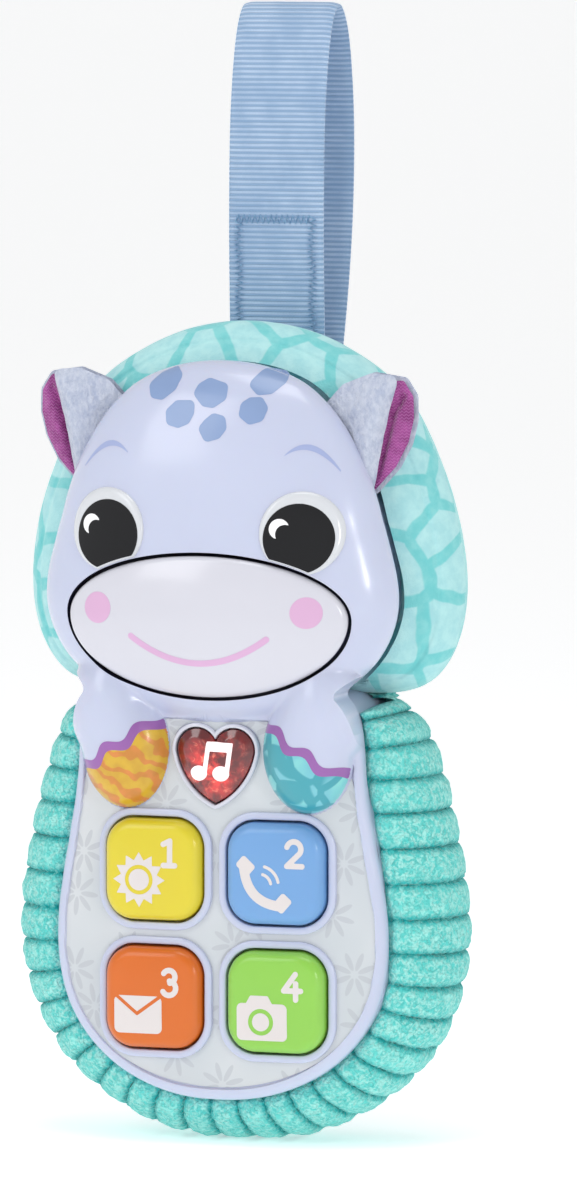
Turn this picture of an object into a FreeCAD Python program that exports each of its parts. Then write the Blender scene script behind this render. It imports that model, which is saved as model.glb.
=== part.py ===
"""Baby's toy phone: an animal-faced plastic phone in a ribbed plush body, with a hood, ears and a strap.

Frame: X to the viewer's right, Y towards the back (the face looks along -Y), Z up.
The origin is the centre of the flat patch that the plush body stands on. Lengths are in millimetres.
"""
import FreeCAD, Part
import math
import os
import re
import Sketcher

Vector = FreeCAD.Vector

SIZES = {
    # the phone's front, measured on the parting plane of its two housings
    "parting_plane": -14.0,
    "wall": 2.0,
    "head_wall": 2.2,
    "head_half_width": 37.1,
    "head_rise": 46.9,
    "head_drop": 24.7,
    "head_centre": 109.0,
    "head_dome": 13.0,
    "panel_half_width": 35.4,
    "panel_widest": 36.0,
    "panel_drop": 26.8,
    "panel_face": -18.3,
    "panel_crown": 260.0,
    "flank_draw": 0.9,
    "flank_rise": 17.0,
    "shoulder_half_width": 29.9,
    "shoulder_level": 76.0,
    "shoulder_height": 6.0,
    "shoulder_bow": 1.2,
    "neck_level": 91.5,
    "neck_half_width": 23.0,
    "arm_offset": 19.1,
    "arm_level": 79.0,
    "arm_centre_back": -16.0,
    "arm_half_width": 9.1,
    "arm_half_depth": 6.0,
    "arm_half_height": 12.4,
    # printed film inside the panel's rim
    "rim_width": 2.4,
    "film_recess": 0.8,
    "film_thickness": 0.3,
    "film_gap": 0.15,
    "film_arm_gap": 0.2,
    "film_top": 84.8,
    "film_backing": 1.6,
    # number buttons
    "button_size": 20.4,
    "button_corner": 5.8,
    "button_column": 12.85,
    "button_row_low": 29.3,
    "button_row_high": 54.8,
    "button_top": -20.8,
    "button_gap": 0.3,
    "button_edge": 2.0,
    "button_roof": 2.2,
    "button_wall": 2.0,
    "button_post_radius": 3.2,
    "collar_width": 1.3,
    "collar_height": 0.6,
    "flange_front": -14.6,
    "flange_back": -13.4,
    "flange_width": 1.2,
    # heart button
    "heart_half_width": 8.05,
    "heart_level": 75.7,
    "heart_top": -18.9,
    "heart_collar": 0.75,
    "heart_flange": 1.4,
    "heart_roof": 1.8,
    "light_well_radius": 2.6,
    # snout button
    "snout_half_width": 29.2,
    "snout_rise": 12.2,
    "snout_drop": 16.0,
    "snout_level": 105.7,
    "snout_gap": 0.9,
    "snout_flange_front": -16.8,
    "snout_flange_back": -15.7,
    "snout_flange_width": 2.1,
    "snout_wall": 2.0,
    "snout_dome_across": 35.7,
    "snout_dome_rise": 25.4,
    "snout_dome_drop": 20.0,
    "snout_crown": 15.5,
    "snout_post_radius": 4.0,
    "snout_post_front": -28.0,
    # eyes
    "eye_offset": 20.35,
    "eye_level": 122.7,
    "eye_radius": 8.2,
    "eye_proud": 0.8,
    "eye_pocket": 1.2,
    "eye_clearance": 0.05,
    # circuit board and rubber keypad
    "board_front": -10.6,
    "board_thickness": 1.6,
    "board_half_width": 24.0,
    "board_low": 18.0,
    "board_step": 68.0,
    "board_waist": 20.5,
    "board_top": 84.0,
    "tongue_half_width": 13.0,
    "tongue_top": 112.0,
    "board_gap": 0.5,
    "lamp_radius": 1.5,
    "lamp_height": 1.4,
    "lamp_rise": 1.2,
    "rubber_thickness": 1.1,
    "rubber_inset": 0.5,
    "rubber_gap": 0.3,
    "rubber_post_gap": 0.1,
    "rubber_post_radius": 3.0,
    "rubber_heart_post_radius": 1.4,
    "rubber_heart_post_offset": 4.6,
    "rubber_snout_post_radius": 3.5,
    "lamp_window_radius": 2.2,
    # rear housing
    "tub_inset": 1.0,
    "head_tub_inset": 2.8,
    "tub_back_inset": 2.0,
    "neck_way": 16.0,
    "neck_way_low": 82.0,
    "neck_way_high": 95.0,
    "tub_wall": 1.6,
    "back_face": 9.5,
    "head_back_face": -5.0,
    "foot_boss_root": -16.1,
    "boss_joint": -8.9,
    "boss_gap": 0.1,
    "front_boss_radius": 2.6,
    "boss_way_radius": 2.75,
    "rear_boss_radius": 3.2,
    "brow_boss_radius": 2.4,
    "brow_boss_length": 7.0,
    "brow_rear_boss_radius": 3.0,
    "foot_screw_level": 14.5,
    "flank_screw_offset": 27.8,
    "flank_screw_level": 51.5,
    "shoulder_screw_offset": 24.3,
    "shoulder_screw_level": 75.0,
    "brow_screw_offset": 20.0,
    "brow_screw_level": 136.0,
    "screw_seat": -4.0,
    "brow_screw_seat": -9.0,
    "screw_tip": -14.8,
    "brow_screw_tip": -18.0,
    "screw_radius": 1.1,
    "screw_head_radius": 2.2,
    "screw_head_height": 1.6,
    "screw_head_way": 2.35,
    "screw_slot_length": 2.6,
    "screw_slot_width": 0.5,
    "screw_slot_depth": 0.5,
    "pilot_gap": 0.05,
    "screw_way_gap": 0.15,
    "battery_radius": 5.25,
    "battery_length": 44.5,
    "battery_cap": 0.5,
    "battery_cap_radius": 1.9,
    "battery_shift": 1.6,
    "battery_depth": 1.6,
    "battery_low": 27.9,
    "battery_high": 38.9,
    "bay_half_width": 24.5,
    "bay_wall": 1.0,
    "bay_gap": 0.6,
    "bay_front": -6.5,
    "bay_floor": -5.5,
    "contact_thickness": 0.5,
    "contact_front": -5.4,
    "contact_back": 6.4,
    "contact_low": 23.2,
    "contact_high": 43.6,
    "tab_low": 31.0,
    "tab_high": 34.0,
    "tab_back": -5.0,
    "tab_gap": 0.2,
    "spring_wire": 0.3,
    "spring_radius": 2.4,
    "spring_gap": 0.05,
    "door_half_width": 25.5,
    "door_low": 21.0,
    "door_high": 52.0,
    "door_thickness": 1.5,
    "door_gap": 0.2,
    "door_rib": 1.2,
    "door_rib_offset": 12.0,
    "door_rib_depth": 0.8,
    "door_rib_reach": 4.0,
    "door_screw_level": 48.5,
    "door_screw_front": 1.0,
    "door_screw_seat": 0.9,
    "door_screw_seat_radius": 2.4,
    "door_screw_head_radius": 2.3,
    "door_screw_proud": 0.35,
    "door_boss_front": -4.0,
    "switch_level": 57.0,
    "switch_travel": 4.0,
    "switch_slot_end": 2.3,
    "switch_slot_half_height": 1.5,
    "switch_case_half_width": 9.0,
    "switch_case_half_height": 3.0,
    "switch_case_front": 1.5,
    "switch_case_floor": 3.0,
    "stem_width": 4.0,
    "stem_height": 2.6,
    "stem_length": 3.5,
    "grip_width": 7.0,
    "grip_height": 4.4,
    "grip_low": 0.2,
    "grip_high": 1.9,
    "stem_proud": 0.3,
    "speaker_level": 70.5,
    "speaker_radius": 9.0,
    "speaker_rim": 2.0,
    "speaker_depth": 6.0,
    "magnet_radius": 5.0,
    "foam_thickness": 0.6,
    "foam_width": 1.6,
    "lead_radius": 0.5,
    "lead_offset": 5.6,
    "lead_drop": 5.0,
    "grille_hole_radius": 0.8,
    "grille_front": 4.0,
    # plush body and hood
    "plush_half_width": 47.0,
    "plush_half_depth": 19.0,
    "plush_centre_back": -2.0,
    "plush_rise": 63.0,
    "plush_drop": 52.0,
    "plush_centre": 46.0,
    "plush_top": 89.4,
    "window_half_width": 28.0,
    "window_low": 18.0,
    "window_high": 83.0,
    "window_corner": 10.0,
    "window_front_gap": 0.2,
    "hood_half_width": 45.7,
    "hood_half_depth": 16.0,
    "hood_rise": 53.0,
    "hood_drop": 34.0,
    "hood_centre": 110.0,
    "hood_centre_back": 1.0,
    "hood_bottom": 89.8,
    "fabric_gap": 0.3,
    "ear_front": -13.4,
    "ear_back": -9.4,
    # strap
    "strap_width": 20.0,
    "strap_thickness": 1.2,
    "patch_thickness": 0.8,
    "patch_width": 17.0,
    "patch_gap": 0.03,
}

doc = FreeCAD.newDocument("toy_phone")
sheet = doc.addObject("Spreadsheet::Sheet", "Sizes")
for row, (alias, number) in enumerate(SIZES.items(), start=1):
    sheet.set("A%d" % row, alias)
    sheet.set("B%d" % row, str(number))
    sheet.setAlias("B%d" % row, alias)
doc.recompute()

ALIAS = re.compile(r"\b(%s)\b" % "|".join(sorted(SIZES, key=len, reverse=True)))
NODES = []


def size(alias):
    """A sheet cell's number, for shapes that are worked out point by point."""
    return float(sheet.get(alias))


def bind(item, **formulas):
    """Bind properties to formulas written in the sheet's aliases; a double underscore stands for a dot."""
    for name, formula in formulas.items():
        item.setExpression(name.replace("__", "."), ALIAS.sub(r"Sizes.\1", str(formula)))


def place(item, x="0", y="0", z="0"):
    bind(item, Placement__Base__x=x, Placement__Base__y=y, Placement__Base__z=z)
    return item


def node(item, label):
    """Mark an object as one sub-part, under the name of its file."""
    item.Label = label
    NODES.append(item)
    return item


# ---------------------------------------------------------------- primitives

def box(name, x, y, z):
    """A block between the low and high formulas of each axis."""
    item = doc.addObject("Part::Box", name)
    bind(item, Length="(%s) - (%s)" % (x[1], x[0]), Width="(%s) - (%s)" % (y[1], y[0]),
         Height="(%s) - (%s)" % (z[1], z[0]))
    return place(item, x[0], y[0], z[0])


def rod(name, radius, y, x="0", z="0"):
    """A cylinder along Y between two formulas."""
    item = doc.addObject("Part::Cylinder", name)
    item.Placement = FreeCAD.Placement(Vector(), FreeCAD.Rotation(Vector(1, 0, 0), -90))
    bind(item, Radius=radius, Height="(%s) - (%s)" % (y[1], y[0]))
    return place(item, x, y[0], z)


def ellipsoid(name, across, deep, up, x, y, z, low=-90, high=90):
    """An ellipsoid, or the part of it between two latitudes."""
    item = doc.addObject("Part::Ellipsoid", name)
    bind(item, Radius1=up, Radius2=across, Radius3=deep)
    item.Angle1 = low
    item.Angle2 = high
    return place(item, x, y, z)


def fuse(name, *items):
    item = doc.addObject("Part::MultiFuse", name)
    item.Shapes = list(items)
    return item


def common(name, *items):
    item = doc.addObject("Part::MultiCommon", name)
    item.Shapes = list(items)
    return item


def cut(name, base, *tools):
    item = doc.addObject("Part::Cut", name)
    item.Base = base
    item.Tool = tools[0] if len(tools) == 1 else fuse(name + "_tools", *tools)
    return item


def chain(kind, name, base, *tools):
    """Booleans one after another: curved solids that fail in one joint boolean hold in turn."""
    for number, tool in enumerate(tools, start=1):
        item = doc.addObject("Part::" + kind, "%s_%d" % (name, number))
        item.Base = base
        item.Tool = tool
        base = item
    return base


def mirrored(name, source):
    """The same piece on the other side of the middle plane."""
    item = doc.addObject("Part::Mirroring", name)
    item.Source = source
    item.Normal = Vector(1, 0, 0)
    return item


def egg(name, across, deep, rise, drop, y, z, grow="0"):
    """An ellipsoid whose upper and lower halves differ in height, grown or shrunk by one amount."""
    args = ["(%s) + (%s)" % (length, grow) for length in (across, deep)]
    top = ellipsoid(name + "_top", *args, "(%s) + (%s)" % (rise, grow), "0", y, z, low=0)
    bottom = ellipsoid(name + "_bottom", *args, "(%s) + (%s)" % (drop, grow), "0", y, z, high=0)
    return fuse(name, top, bottom)


# ------------------------------------------------------------------ outlines

def outline_sketch(name, curves):
    """A sketch that faces the front: its x is X and its y is Z."""
    sketch = doc.addObject("Sketcher::SketchObject", name)
    sketch.Placement = FreeCAD.Placement(Vector(), FreeCAD.Rotation(Vector(1, 0, 0), 90))
    sketch.addGeometry(curves, False)
    return sketch


def prism(name, sketch, y):
    """A sketch's outline carried along Y between two formulas."""
    bind(sketch, Placement__Base__y=y[0])
    item = doc.addObject("Part::Extrusion", name)
    item.Base = sketch
    item.DirMode = "Custom"
    item.Dir = Vector(0, 1, 0)
    item.Solid = True
    bind(item, LengthFwd="(%s) - (%s)" % (y[1], y[0]))
    return item


SKETCH_HALF = 10.0
SKETCH_CORNER = 3.0


def half_ellipse(centre, across, up, top):
    """The upper or lower half of an upright or lying ellipse."""
    if across >= up:
        ellipse = Part.Ellipse(centre + Vector(across, 0, 0), centre + Vector(0, up, 0), centre)
        start = 0.0 if top else math.pi
    else:
        ellipse = Part.Ellipse(centre + Vector(0, up, 0), centre - Vector(across, 0, 0), centre)
        start = -math.pi / 2 if top else math.pi / 2
    return Part.ArcOfEllipse(ellipse, start, start + math.pi)


def egg_curves(across, rise, drop, level, grow=0.0):
    centre = Vector(0, level, 0)
    return [half_ellipse(centre, across + grow, rise + grow, True),
            half_ellipse(centre, across + grow, drop + grow, False)]


def panel_curves(inset=0.0):
    """The phone's lower front: a round bottom, sides that draw in to the shoulders, and a neck."""
    wide = size("panel_half_width") - inset
    level = size("panel_widest")
    shoulder = size("shoulder_half_width") - inset
    shoulder_level = size("shoulder_level")
    neck = Vector(size("neck_half_width") - inset, size("neck_level") - inset, 0)
    flank = Vector(wide - size("flank_draw"), level + size("flank_rise"), 0)
    armpit = Vector(shoulder, shoulder_level, 0)
    upper_arm = Vector(shoulder, shoulder_level + size("shoulder_height"), 0)
    bow = size("shoulder_bow")
    curves = [half_ellipse(Vector(0, level, 0), wide, size("panel_drop") - inset, False)]
    for side in (1, -1):
        points = [Vector(side * p.x, p.y, 0) for p in (Vector(wide, level, 0), flank, armpit, upper_arm, neck)]
        curves.append(Part.Arc(points[0], points[1], points[2]))
        curves.append(Part.LineSegment(points[2], points[3]))
        bend = Vector(side * (shoulder - bow), (upper_arm.y + neck.y) / 2 + bow, 0)
        curves.append(Part.Arc(points[3], bend, points[4]))
    curves.append(Part.LineSegment(Vector(neck.x, neck.y, 0), Vector(-neck.x, neck.y, 0)))
    return curves


def heart_curves(grow=0.0):
    """A heart: two round lobes and two bowed sides that meet in the point."""
    wide = size("heart_half_width")
    scale = 1 + grow / wide
    centre = Vector(0, size("heart_level"), 0)
    curves = []
    for hand in (1, -1):
        spots = {name: centre + Vector(hand * across * wide, up, 0) * scale
                 for name, (across, up) in HEART_SHAPE.items()}
        curves.append(Part.Arc(spots["notch"], spots["lobe"], spots["side"]))
        curves.append(Part.Arc(spots["side"], spots["flank"], spots["point"]))
    return curves


def rounded_square(sketch, side, corner):
    """A square with round corners about the sketch's origin, held by named, bound dimensions."""
    half, radius = SKETCH_HALF, SKETCH_CORNER
    flat = half - radius
    ends = [((-flat, -half), (flat, -half)), ((half, -flat), (half, flat)),
            ((flat, half), (-flat, half)), ((-half, flat), (-half, -flat))]
    lines = [Part.LineSegment(Vector(*a, 0), Vector(*b, 0)) for a, b in ends]
    centres = [(flat, -flat), (flat, flat), (-flat, flat), (-flat, -flat)]
    arcs = [Part.ArcOfCircle(Part.Circle(Vector(*c, 0), Vector(0, 0, 1), radius),
                             (k - 1) * math.pi / 2, k * math.pi / 2) for k, c in enumerate(centres)]
    sketch.addGeometry(lines + arcs, False)
    rules = []
    for k in range(4):
        rules.append(Sketcher.Constraint("Tangent", k, 2, 4 + k, 1))
        rules.append(Sketcher.Constraint("Tangent", 4 + k, 2, (k + 1) % 4, 1))
    rules += [Sketcher.Constraint("Horizontal", 0), Sketcher.Constraint("Horizontal", 2),
              Sketcher.Constraint("Vertical", 1), Sketcher.Constraint("Vertical", 3)]
    rules += [Sketcher.Constraint("Equal", 4, k) for k in (5, 6, 7)]
    rules.append(Sketcher.Constraint("Symmetric", 0, 1, 2, 1, -1, 1))
    sketch.addConstraint(rules)
    measures = {"corner": ("Radius", 4, radius), "across": ("DistanceX", 3, 1, 1, 1, 2 * half),
                "upright": ("DistanceY", 0, 1, 2, 1, 2 * half)}
    for name, rule in measures.items():
        index = sketch.addConstraint(Sketcher.Constraint(*rule))
        sketch.renameConstraint(index, name)
    bind(sketch, Constraints__across=side, Constraints__upright=side, Constraints__corner=corner)
    return sketch


def square_prism(name, side, corner, x, z, y):
    sketch = rounded_square(outline_sketch(name + "_outline", []), side, corner)
    place(sketch, x, "0", z)
    return prism(name, sketch, y)


# ------------------------------------------------------------ design bodies

def origin_plane(body, role):
    return next(item for item in body.Origin.OriginFeatures if item.Role == role)


def body_sketch(body, name, y):
    """A sketch of the body's own, parallel to its XZ plane, at a height along Y."""
    sketch = body.newObject("Sketcher::SketchObject", name)
    sketch.AttachmentSupport = [(origin_plane(body, "XZ_Plane"), "")]
    sketch.MapMode = "FlatFace"
    bind(sketch, AttachmentOffset__Base__z="-(%s)" % y)
    return sketch


def pad(body, name, sketch, y):
    """Material from the sketch, drawn at the far limit, towards the front."""
    item = body.newObject("PartDesign::Pad", name)
    item.Profile = sketch
    bind(item, Length="(%s) - (%s)" % (y[1], y[0]))
    return item


def pocket(body, name, sketch, y):
    """A hollow from the back: the sketch is drawn at the near limit and cuts backwards."""
    item = body.newObject("PartDesign::Pocket", name)
    item.Profile = sketch
    bind(item, Length="(%s) - (%s)" % (y[1], y[0]))
    return item


def front_face(shape):
    """The name of the flat face that lies furthest forward."""
    fronts = [(face.CenterOfMass.y, index) for index, face in enumerate(shape.Faces, start=1)]
    return "Face%d" % min(fronts)[1]


# ------------------------------------------------------------- shared solids

HEAD = ("head_half_width", "head_dome", "head_rise", "head_drop", "parting_plane", "head_centre")
PLUSH = ("plush_half_width", "plush_half_depth", "plush_rise", "plush_drop", "plush_centre_back", "plush_centre")
FAR = "200"
FRONT_SPACE = ("-60", "parting_plane")
ALL_FRONT = ("-60", "0")
GRILLE_RINGS = ((3.0, 6), (6.0, 12))
HEART_SHAPE = {"notch": (0.0, 4.7), "lobe": (0.52, 7.4), "side": (1.0, 2.9), "flank": (0.74, -2.3),
               "point": (0.0, -7.4)}
BUTTONS = {"1": (-1, "button_row_high"), "2": (1, "button_row_high"),
           "3": (-1, "button_row_low"), "4": (1, "button_row_low")}
BODY_SCREWS = [("0", "foot_screw_level"),
               ("-flank_screw_offset", "flank_screw_level"), ("flank_screw_offset", "flank_screw_level"),
               ("-shoulder_screw_offset", "shoulder_screw_level"), ("shoulder_screw_offset", "shoulder_screw_level")]
HEAD_SCREWS = [("-brow_screw_offset", "brow_screw_level"), ("brow_screw_offset", "brow_screw_level")]


def button_place(key):
    side, row = BUTTONS[key]
    return "%d * button_column" % side, row


def crown(name, lift):
    """A wide upright cylinder whose front is the panel's crowned face, moved back by lift."""
    item = doc.addObject("Part::Cylinder", name)
    bind(item, Radius="panel_crown - (%s)" % lift, Height=FAR)
    return place(item, "0", "panel_face + panel_crown", "-20")


def panel_block(name, inset, lift, y_back="parting_plane"):
    """The panel's outline, crowned in front and flat behind."""
    block = prism(name + "_prism", outline_sketch(name + "_outline", panel_curves(inset)), ("-40", y_back))
    return common(name, block, crown(name + "_crown", lift))


def back_limit(name, grow):
    """The plush body's rounded back, grown or shrunk, with no limit in front of its widest plane."""
    return fuse(name, egg(name + "_egg", *PLUSH, grow=grow),
                box(name + "_ahead", ("-80", "80"), ("-60", "plush_centre_back"), ("-20", "220")))


def front_half(name, solid):
    return common(name, solid, box(name + "_space", ("-80", "80"), ("-60", "parting_plane"), ("-20", "220")))


def snout_prism(name, grow, y):
    curves = egg_curves(size("snout_half_width"), size("snout_rise"), size("snout_drop"), size("snout_level"), grow)
    return prism(name, outline_sketch(name + "_outline", curves), y)


def heart_prism(name, grow, y):
    return prism(name, outline_sketch(name + "_outline", heart_curves(grow)), y)


def arm(name, side, grow="0"):
    radii = ["%s + %s" % (length, grow) for length in ("arm_half_width", "arm_half_depth", "arm_half_height")]
    return ellipsoid(name, *radii, "%d * arm_offset" % side, "arm_centre_back", "arm_level")


# ------------------------------------------------------------ plastic casing

def make_front_housing():
    """The lavender front: a domed head, a crowned panel and two moulded arms in one shell."""
    head = front_half("head_front", egg("head_outer", *HEAD))
    panel = panel_block("panel_outer", 0.0, "0")
    arms = [front_half("arm_front_%d" % n, arm("arm_%d" % n, side)) for n, side in enumerate((-1, 1))]
    outer = chain("Fuse", "front_outer", head, panel, *arms)
    head_hollow = egg("head_hollow", *HEAD, grow="-head_wall")
    panel_hollow = panel_block("panel_hollow", size("wall"), "film_recess + film_backing")
    recess_prism = prism("recess_prism", outline_sketch("recess_outline", panel_curves(size("rim_width"))),
                         ("-40", "parting_plane"))
    recess = cut("film_recess_space", recess_prism, crown("recess_floor", "film_recess"),
                 egg("recess_head", *HEAD), arm("recess_arm_left", -1), arm("recess_arm_right", 1),
                 box("recess_limit", ("-60", "60"), ALL_FRONT, ("film_top + film_gap", FAR)))
    shell = chain("Cut", "front_shell", outer, head_hollow, panel_hollow, recess)
    collar_y = ("panel_face + film_recess - film_thickness - collar_height", "parting_plane - 2")
    collars = [square_prism("collar_" + key, "button_size + 2 * button_gap + 2 * collar_width",
                            "button_corner + button_gap + collar_width", *button_place(key), collar_y)
               for key in BUTTONS]
    heart_collar = heart_prism("heart_collar_block", size("button_gap") + size("heart_collar"), collar_y)
    bosses = [rod("front_boss_%d" % n, "front_boss_radius", ("parting_plane - 1", "boss_joint"), x, z)
              for n, (x, z) in enumerate(BODY_SCREWS)]
    bosses.append(rod("foot_boss", "front_boss_radius", ("foot_boss_root", "parting_plane"), *BODY_SCREWS[0]))
    bosses += [rod("brow_boss_%d" % n, "brow_boss_radius",
                   ("parting_plane - brow_boss_length", "parting_plane"), x, z)
               for n, (x, z) in enumerate(HEAD_SCREWS)]
    solid = chain("Fuse", "front_solid", shell, heart_collar, *collars, *bosses)
    openings = [square_prism("opening_" + key, "button_size + 2 * button_gap", "button_corner + button_gap",
                             *button_place(key), ("-40", "parting_plane")) for key in BUTTONS]
    openings.append(heart_prism("heart_opening", size("button_gap"), ("-40", "parting_plane")))
    openings.append(snout_prism("snout_opening", size("snout_gap"), FRONT_SPACE))
    pilots = [rod("pilot_%d" % n, "screw_radius + pilot_gap", ("screw_tip - 0.2", "0"), x, z)
              for n, (x, z) in enumerate(BODY_SCREWS)]
    pilots += [rod("brow_pilot_%d" % n, "screw_radius + pilot_gap", ("brow_screw_tip - 0.5", "0"), x, z)
               for n, (x, z) in enumerate(HEAD_SCREWS)]
    eye_pockets = []
    for side, hand in ((-1, "left"), (1, "right")):
        bore = rod("eye_bore_" + hand, "eye_radius + eye_clearance", FRONT_SPACE,
                   "%d * eye_offset" % side, "eye_level")
        eye_pockets.append(cut("eye_pocket_" + hand, bore, egg("eye_seat_" + hand, *HEAD, grow="-eye_pocket")))
    node(chain("Cut", "front_housing_cut", solid, *openings, *pilots, *eye_pockets), "front_housing")


def make_film():
    """The thin printed sheet in the panel's recess, cut round the buttons, heart and hands."""
    inset = size("rim_width") + size("film_gap")
    blank = prism("film_prism", outline_sketch("film_outline", panel_curves(inset)), ("-40", "parting_plane"))
    layer = common("film_layer", blank, crown("film_front", "film_recess - film_thickness"))
    holes = [square_prism("film_hole_" + key, "button_size + 2 * button_gap + 2 * collar_width + 2 * film_gap",
                          "button_corner + button_gap + collar_width + film_gap", *button_place(key),
                          ("-40", "0")) for key in BUTTONS]
    holes.append(heart_prism("film_heart_hole", size("button_gap") + size("heart_collar") + size("film_gap"),
                             ("-40", "0")))
    holes += [arm("film_arm_left", -1, "film_arm_gap"), arm("film_arm_right", 1, "film_arm_gap"),
              egg("film_head", *HEAD, grow="film_arm_gap"),
              box("film_limit", ("-60", "60"), ALL_FRONT, ("film_top", FAR))]
    node(cut("film_cut", layer, crown("film_back", "film_recess"), *holes), "faceplate_film")


def make_eyes():
    """Domed eyes set in shallow pockets, trimmed where the snout's opening runs under them."""
    for side, hand in ((-1, "left"), (1, "right")):
        plug = rod("eye_plug_" + hand, "eye_radius", FRONT_SPACE, "%d * eye_offset" % side, "eye_level")
        dome = common("eye_dome_" + hand, plug, egg("eye_front_" + hand, *HEAD, grow="eye_proud"))
        trimmed = cut("eye_cut_" + hand, dome, egg("eye_back_" + hand, *HEAD, grow="-eye_pocket"),
                      snout_prism("eye_trim_" + hand, size("snout_gap"), ALL_FRONT))
        node(trimmed, "eye_" + hand)


def head_outline(name, inset):
    """The back of the head's outline, drawn in by an inset."""
    head = [size(alias) for alias in ("head_half_width", "head_rise", "head_drop", "head_centre")]
    return outline_sketch(name, egg_curves(*head, -inset))


def tub_shell():
    """The open tub behind the panel and the shallower one behind the head, joined by a way at the neck."""
    inset, wall, head_inset = size("tub_inset"), size("tub_wall"), size("head_tub_inset")
    back = "back_face - wall"
    head_back = "head_back_face - wall"
    tub_prism = prism("tub_prism", outline_sketch("tub_outline", panel_curves(inset)),
                      ("parting_plane", "back_face"))
    tub = common("tub_outer", tub_prism, back_limit("tub_limit", "-tub_back_inset"))
    head_tub = prism("head_tub", head_outline("head_tub_outline", head_inset), ("parting_plane", "head_back_face"))
    hollow_prism = prism("tub_hollow_prism", outline_sketch("tub_hollow_outline", panel_curves(inset + wall)),
                         ("parting_plane - 1", back))
    hollow = common("tub_hollow", hollow_prism, back_limit("tub_hollow_limit", "-tub_back_inset - wall"))
    head_hollow = prism("head_tub_hollow", head_outline("head_hollow_outline", head_inset + wall),
                        ("parting_plane - 1", head_back))
    neck = box("neck_way", ("-neck_way", "neck_way"), ("parting_plane - 1", head_back),
               ("neck_way_low", "neck_way_high"))
    return cut("tub_shell", fuse("tub_solid", tub, head_tub), hollow, head_hollow, neck)


def tub_bosses():
    """The battery bay's walls and the bosses inside the tub, and the two behind the brow."""
    inside = "back_face - wall"
    bay = box("bay_walls", ("-bay_half_width - bay_wall", "bay_half_width + bay_wall"), ("bay_front", inside),
              ("battery_low - battery_radius - bay_gap - bay_wall",
               "battery_high + battery_radius + bay_gap + bay_wall"))
    door_boss = rod("door_boss", "rear_boss_radius", ("door_boss_front", inside), "0", "door_screw_level")
    bosses = [rod("rear_boss_%d" % n, "rear_boss_radius", ("boss_joint + boss_gap", "back_face - 0.5"), x, z)
              for n, (x, z) in enumerate(BODY_SCREWS)]
    brow = [rod("brow_rear_boss_%d" % n, "brow_rear_boss_radius", ("parting_plane", "head_back_face"), x, z)
            for n, (x, z) in enumerate(HEAD_SCREWS)]
    held = common("bosses_inside", fuse("tub_bosses", bay, door_boss, *bosses),
                  back_limit("boss_limit", "-tub_back_inset"))
    return [held] + brow


def screw_ways():
    """The holes for the casing's screws, their heads and the front housing's bosses."""
    ways = [rod("door_pilot", "screw_radius + pilot_gap", ("-3", "back_face"), "0", "door_screw_level")]
    for n, (x, z) in enumerate(BODY_SCREWS + HEAD_SCREWS):
        seat = "screw_seat" if n < len(BODY_SCREWS) else "brow_screw_seat"
        ways.append(rod("screw_way_%d" % n, "screw_radius + screw_way_gap", ("-20", "back_face"), x, z))
        ways.append(rod("head_way_%d" % n, "screw_head_way", (seat, "back_face + 1"), x, z))
    for n, (x, z) in enumerate(BODY_SCREWS):
        span = ("parting_plane - 1", "boss_joint + boss_gap / 2")
        ways.append(rod("boss_way_%d" % n, "boss_way_radius", span, x, z))
    return ways


def make_rear_housing():
    """The hidden tub: battery bay, speaker grille, switch slot and screw bosses behind the panel."""
    solid = fuse("rear_solid", tub_shell(), *tub_bosses())
    cuts = [box("bay_space", ("-bay_half_width", "bay_half_width"), ("bay_floor", "back_face + 1"),
                ("battery_low - battery_radius - bay_gap", "battery_high + battery_radius + bay_gap")),
            box("door_recess", ("-door_half_width - door_gap", "door_half_width + door_gap"),
                ("back_face - door_thickness", "back_face + 1"), ("door_low - door_gap", "door_high + door_gap")),
            box("switch_slot", ("-switch_travel - switch_slot_end", "switch_travel + switch_slot_end"),
                ("0", "back_face + 1"),
                ("switch_level - switch_slot_half_height", "switch_level + switch_slot_half_height"))]
    for side, hand in ((-1, "left"), (1, "right")):
        inner, outer = sorted((side * (size("bay_half_width") - size("contact_thickness") - size("tab_gap")),
                               side * (size("bay_half_width") + size("tab_gap") / 2)))
        cuts.append(box("tab_slot_" + hand, (inner, outer), ("-8", "tab_back"),
                        ("tab_low - tab_gap", "tab_high + tab_gap")))
    node(cut("rear_housing_cut", solid, *cuts, *screw_ways(), *grille_holes()), "rear_housing")


def grille_holes():
    """Round sound holes: one in the middle and two rings about it."""
    span = ("grille_front", "back_face + 1")
    holes = [rod("grille_middle", "grille_hole_radius", span, "0", "speaker_level")]
    for ring, count in GRILLE_RINGS:
        for k in range(count):
            angle = 2 * math.pi * k / count
            x, rise = round(ring * math.cos(angle), 4), ring * math.sin(angle)
            holes.append(rod("grille_%d_%d" % (ring, k), "grille_hole_radius", span, x,
                             "speaker_level + %.4f" % rise))
    return holes


# ------------------------------------------------------------------- buttons

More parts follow.
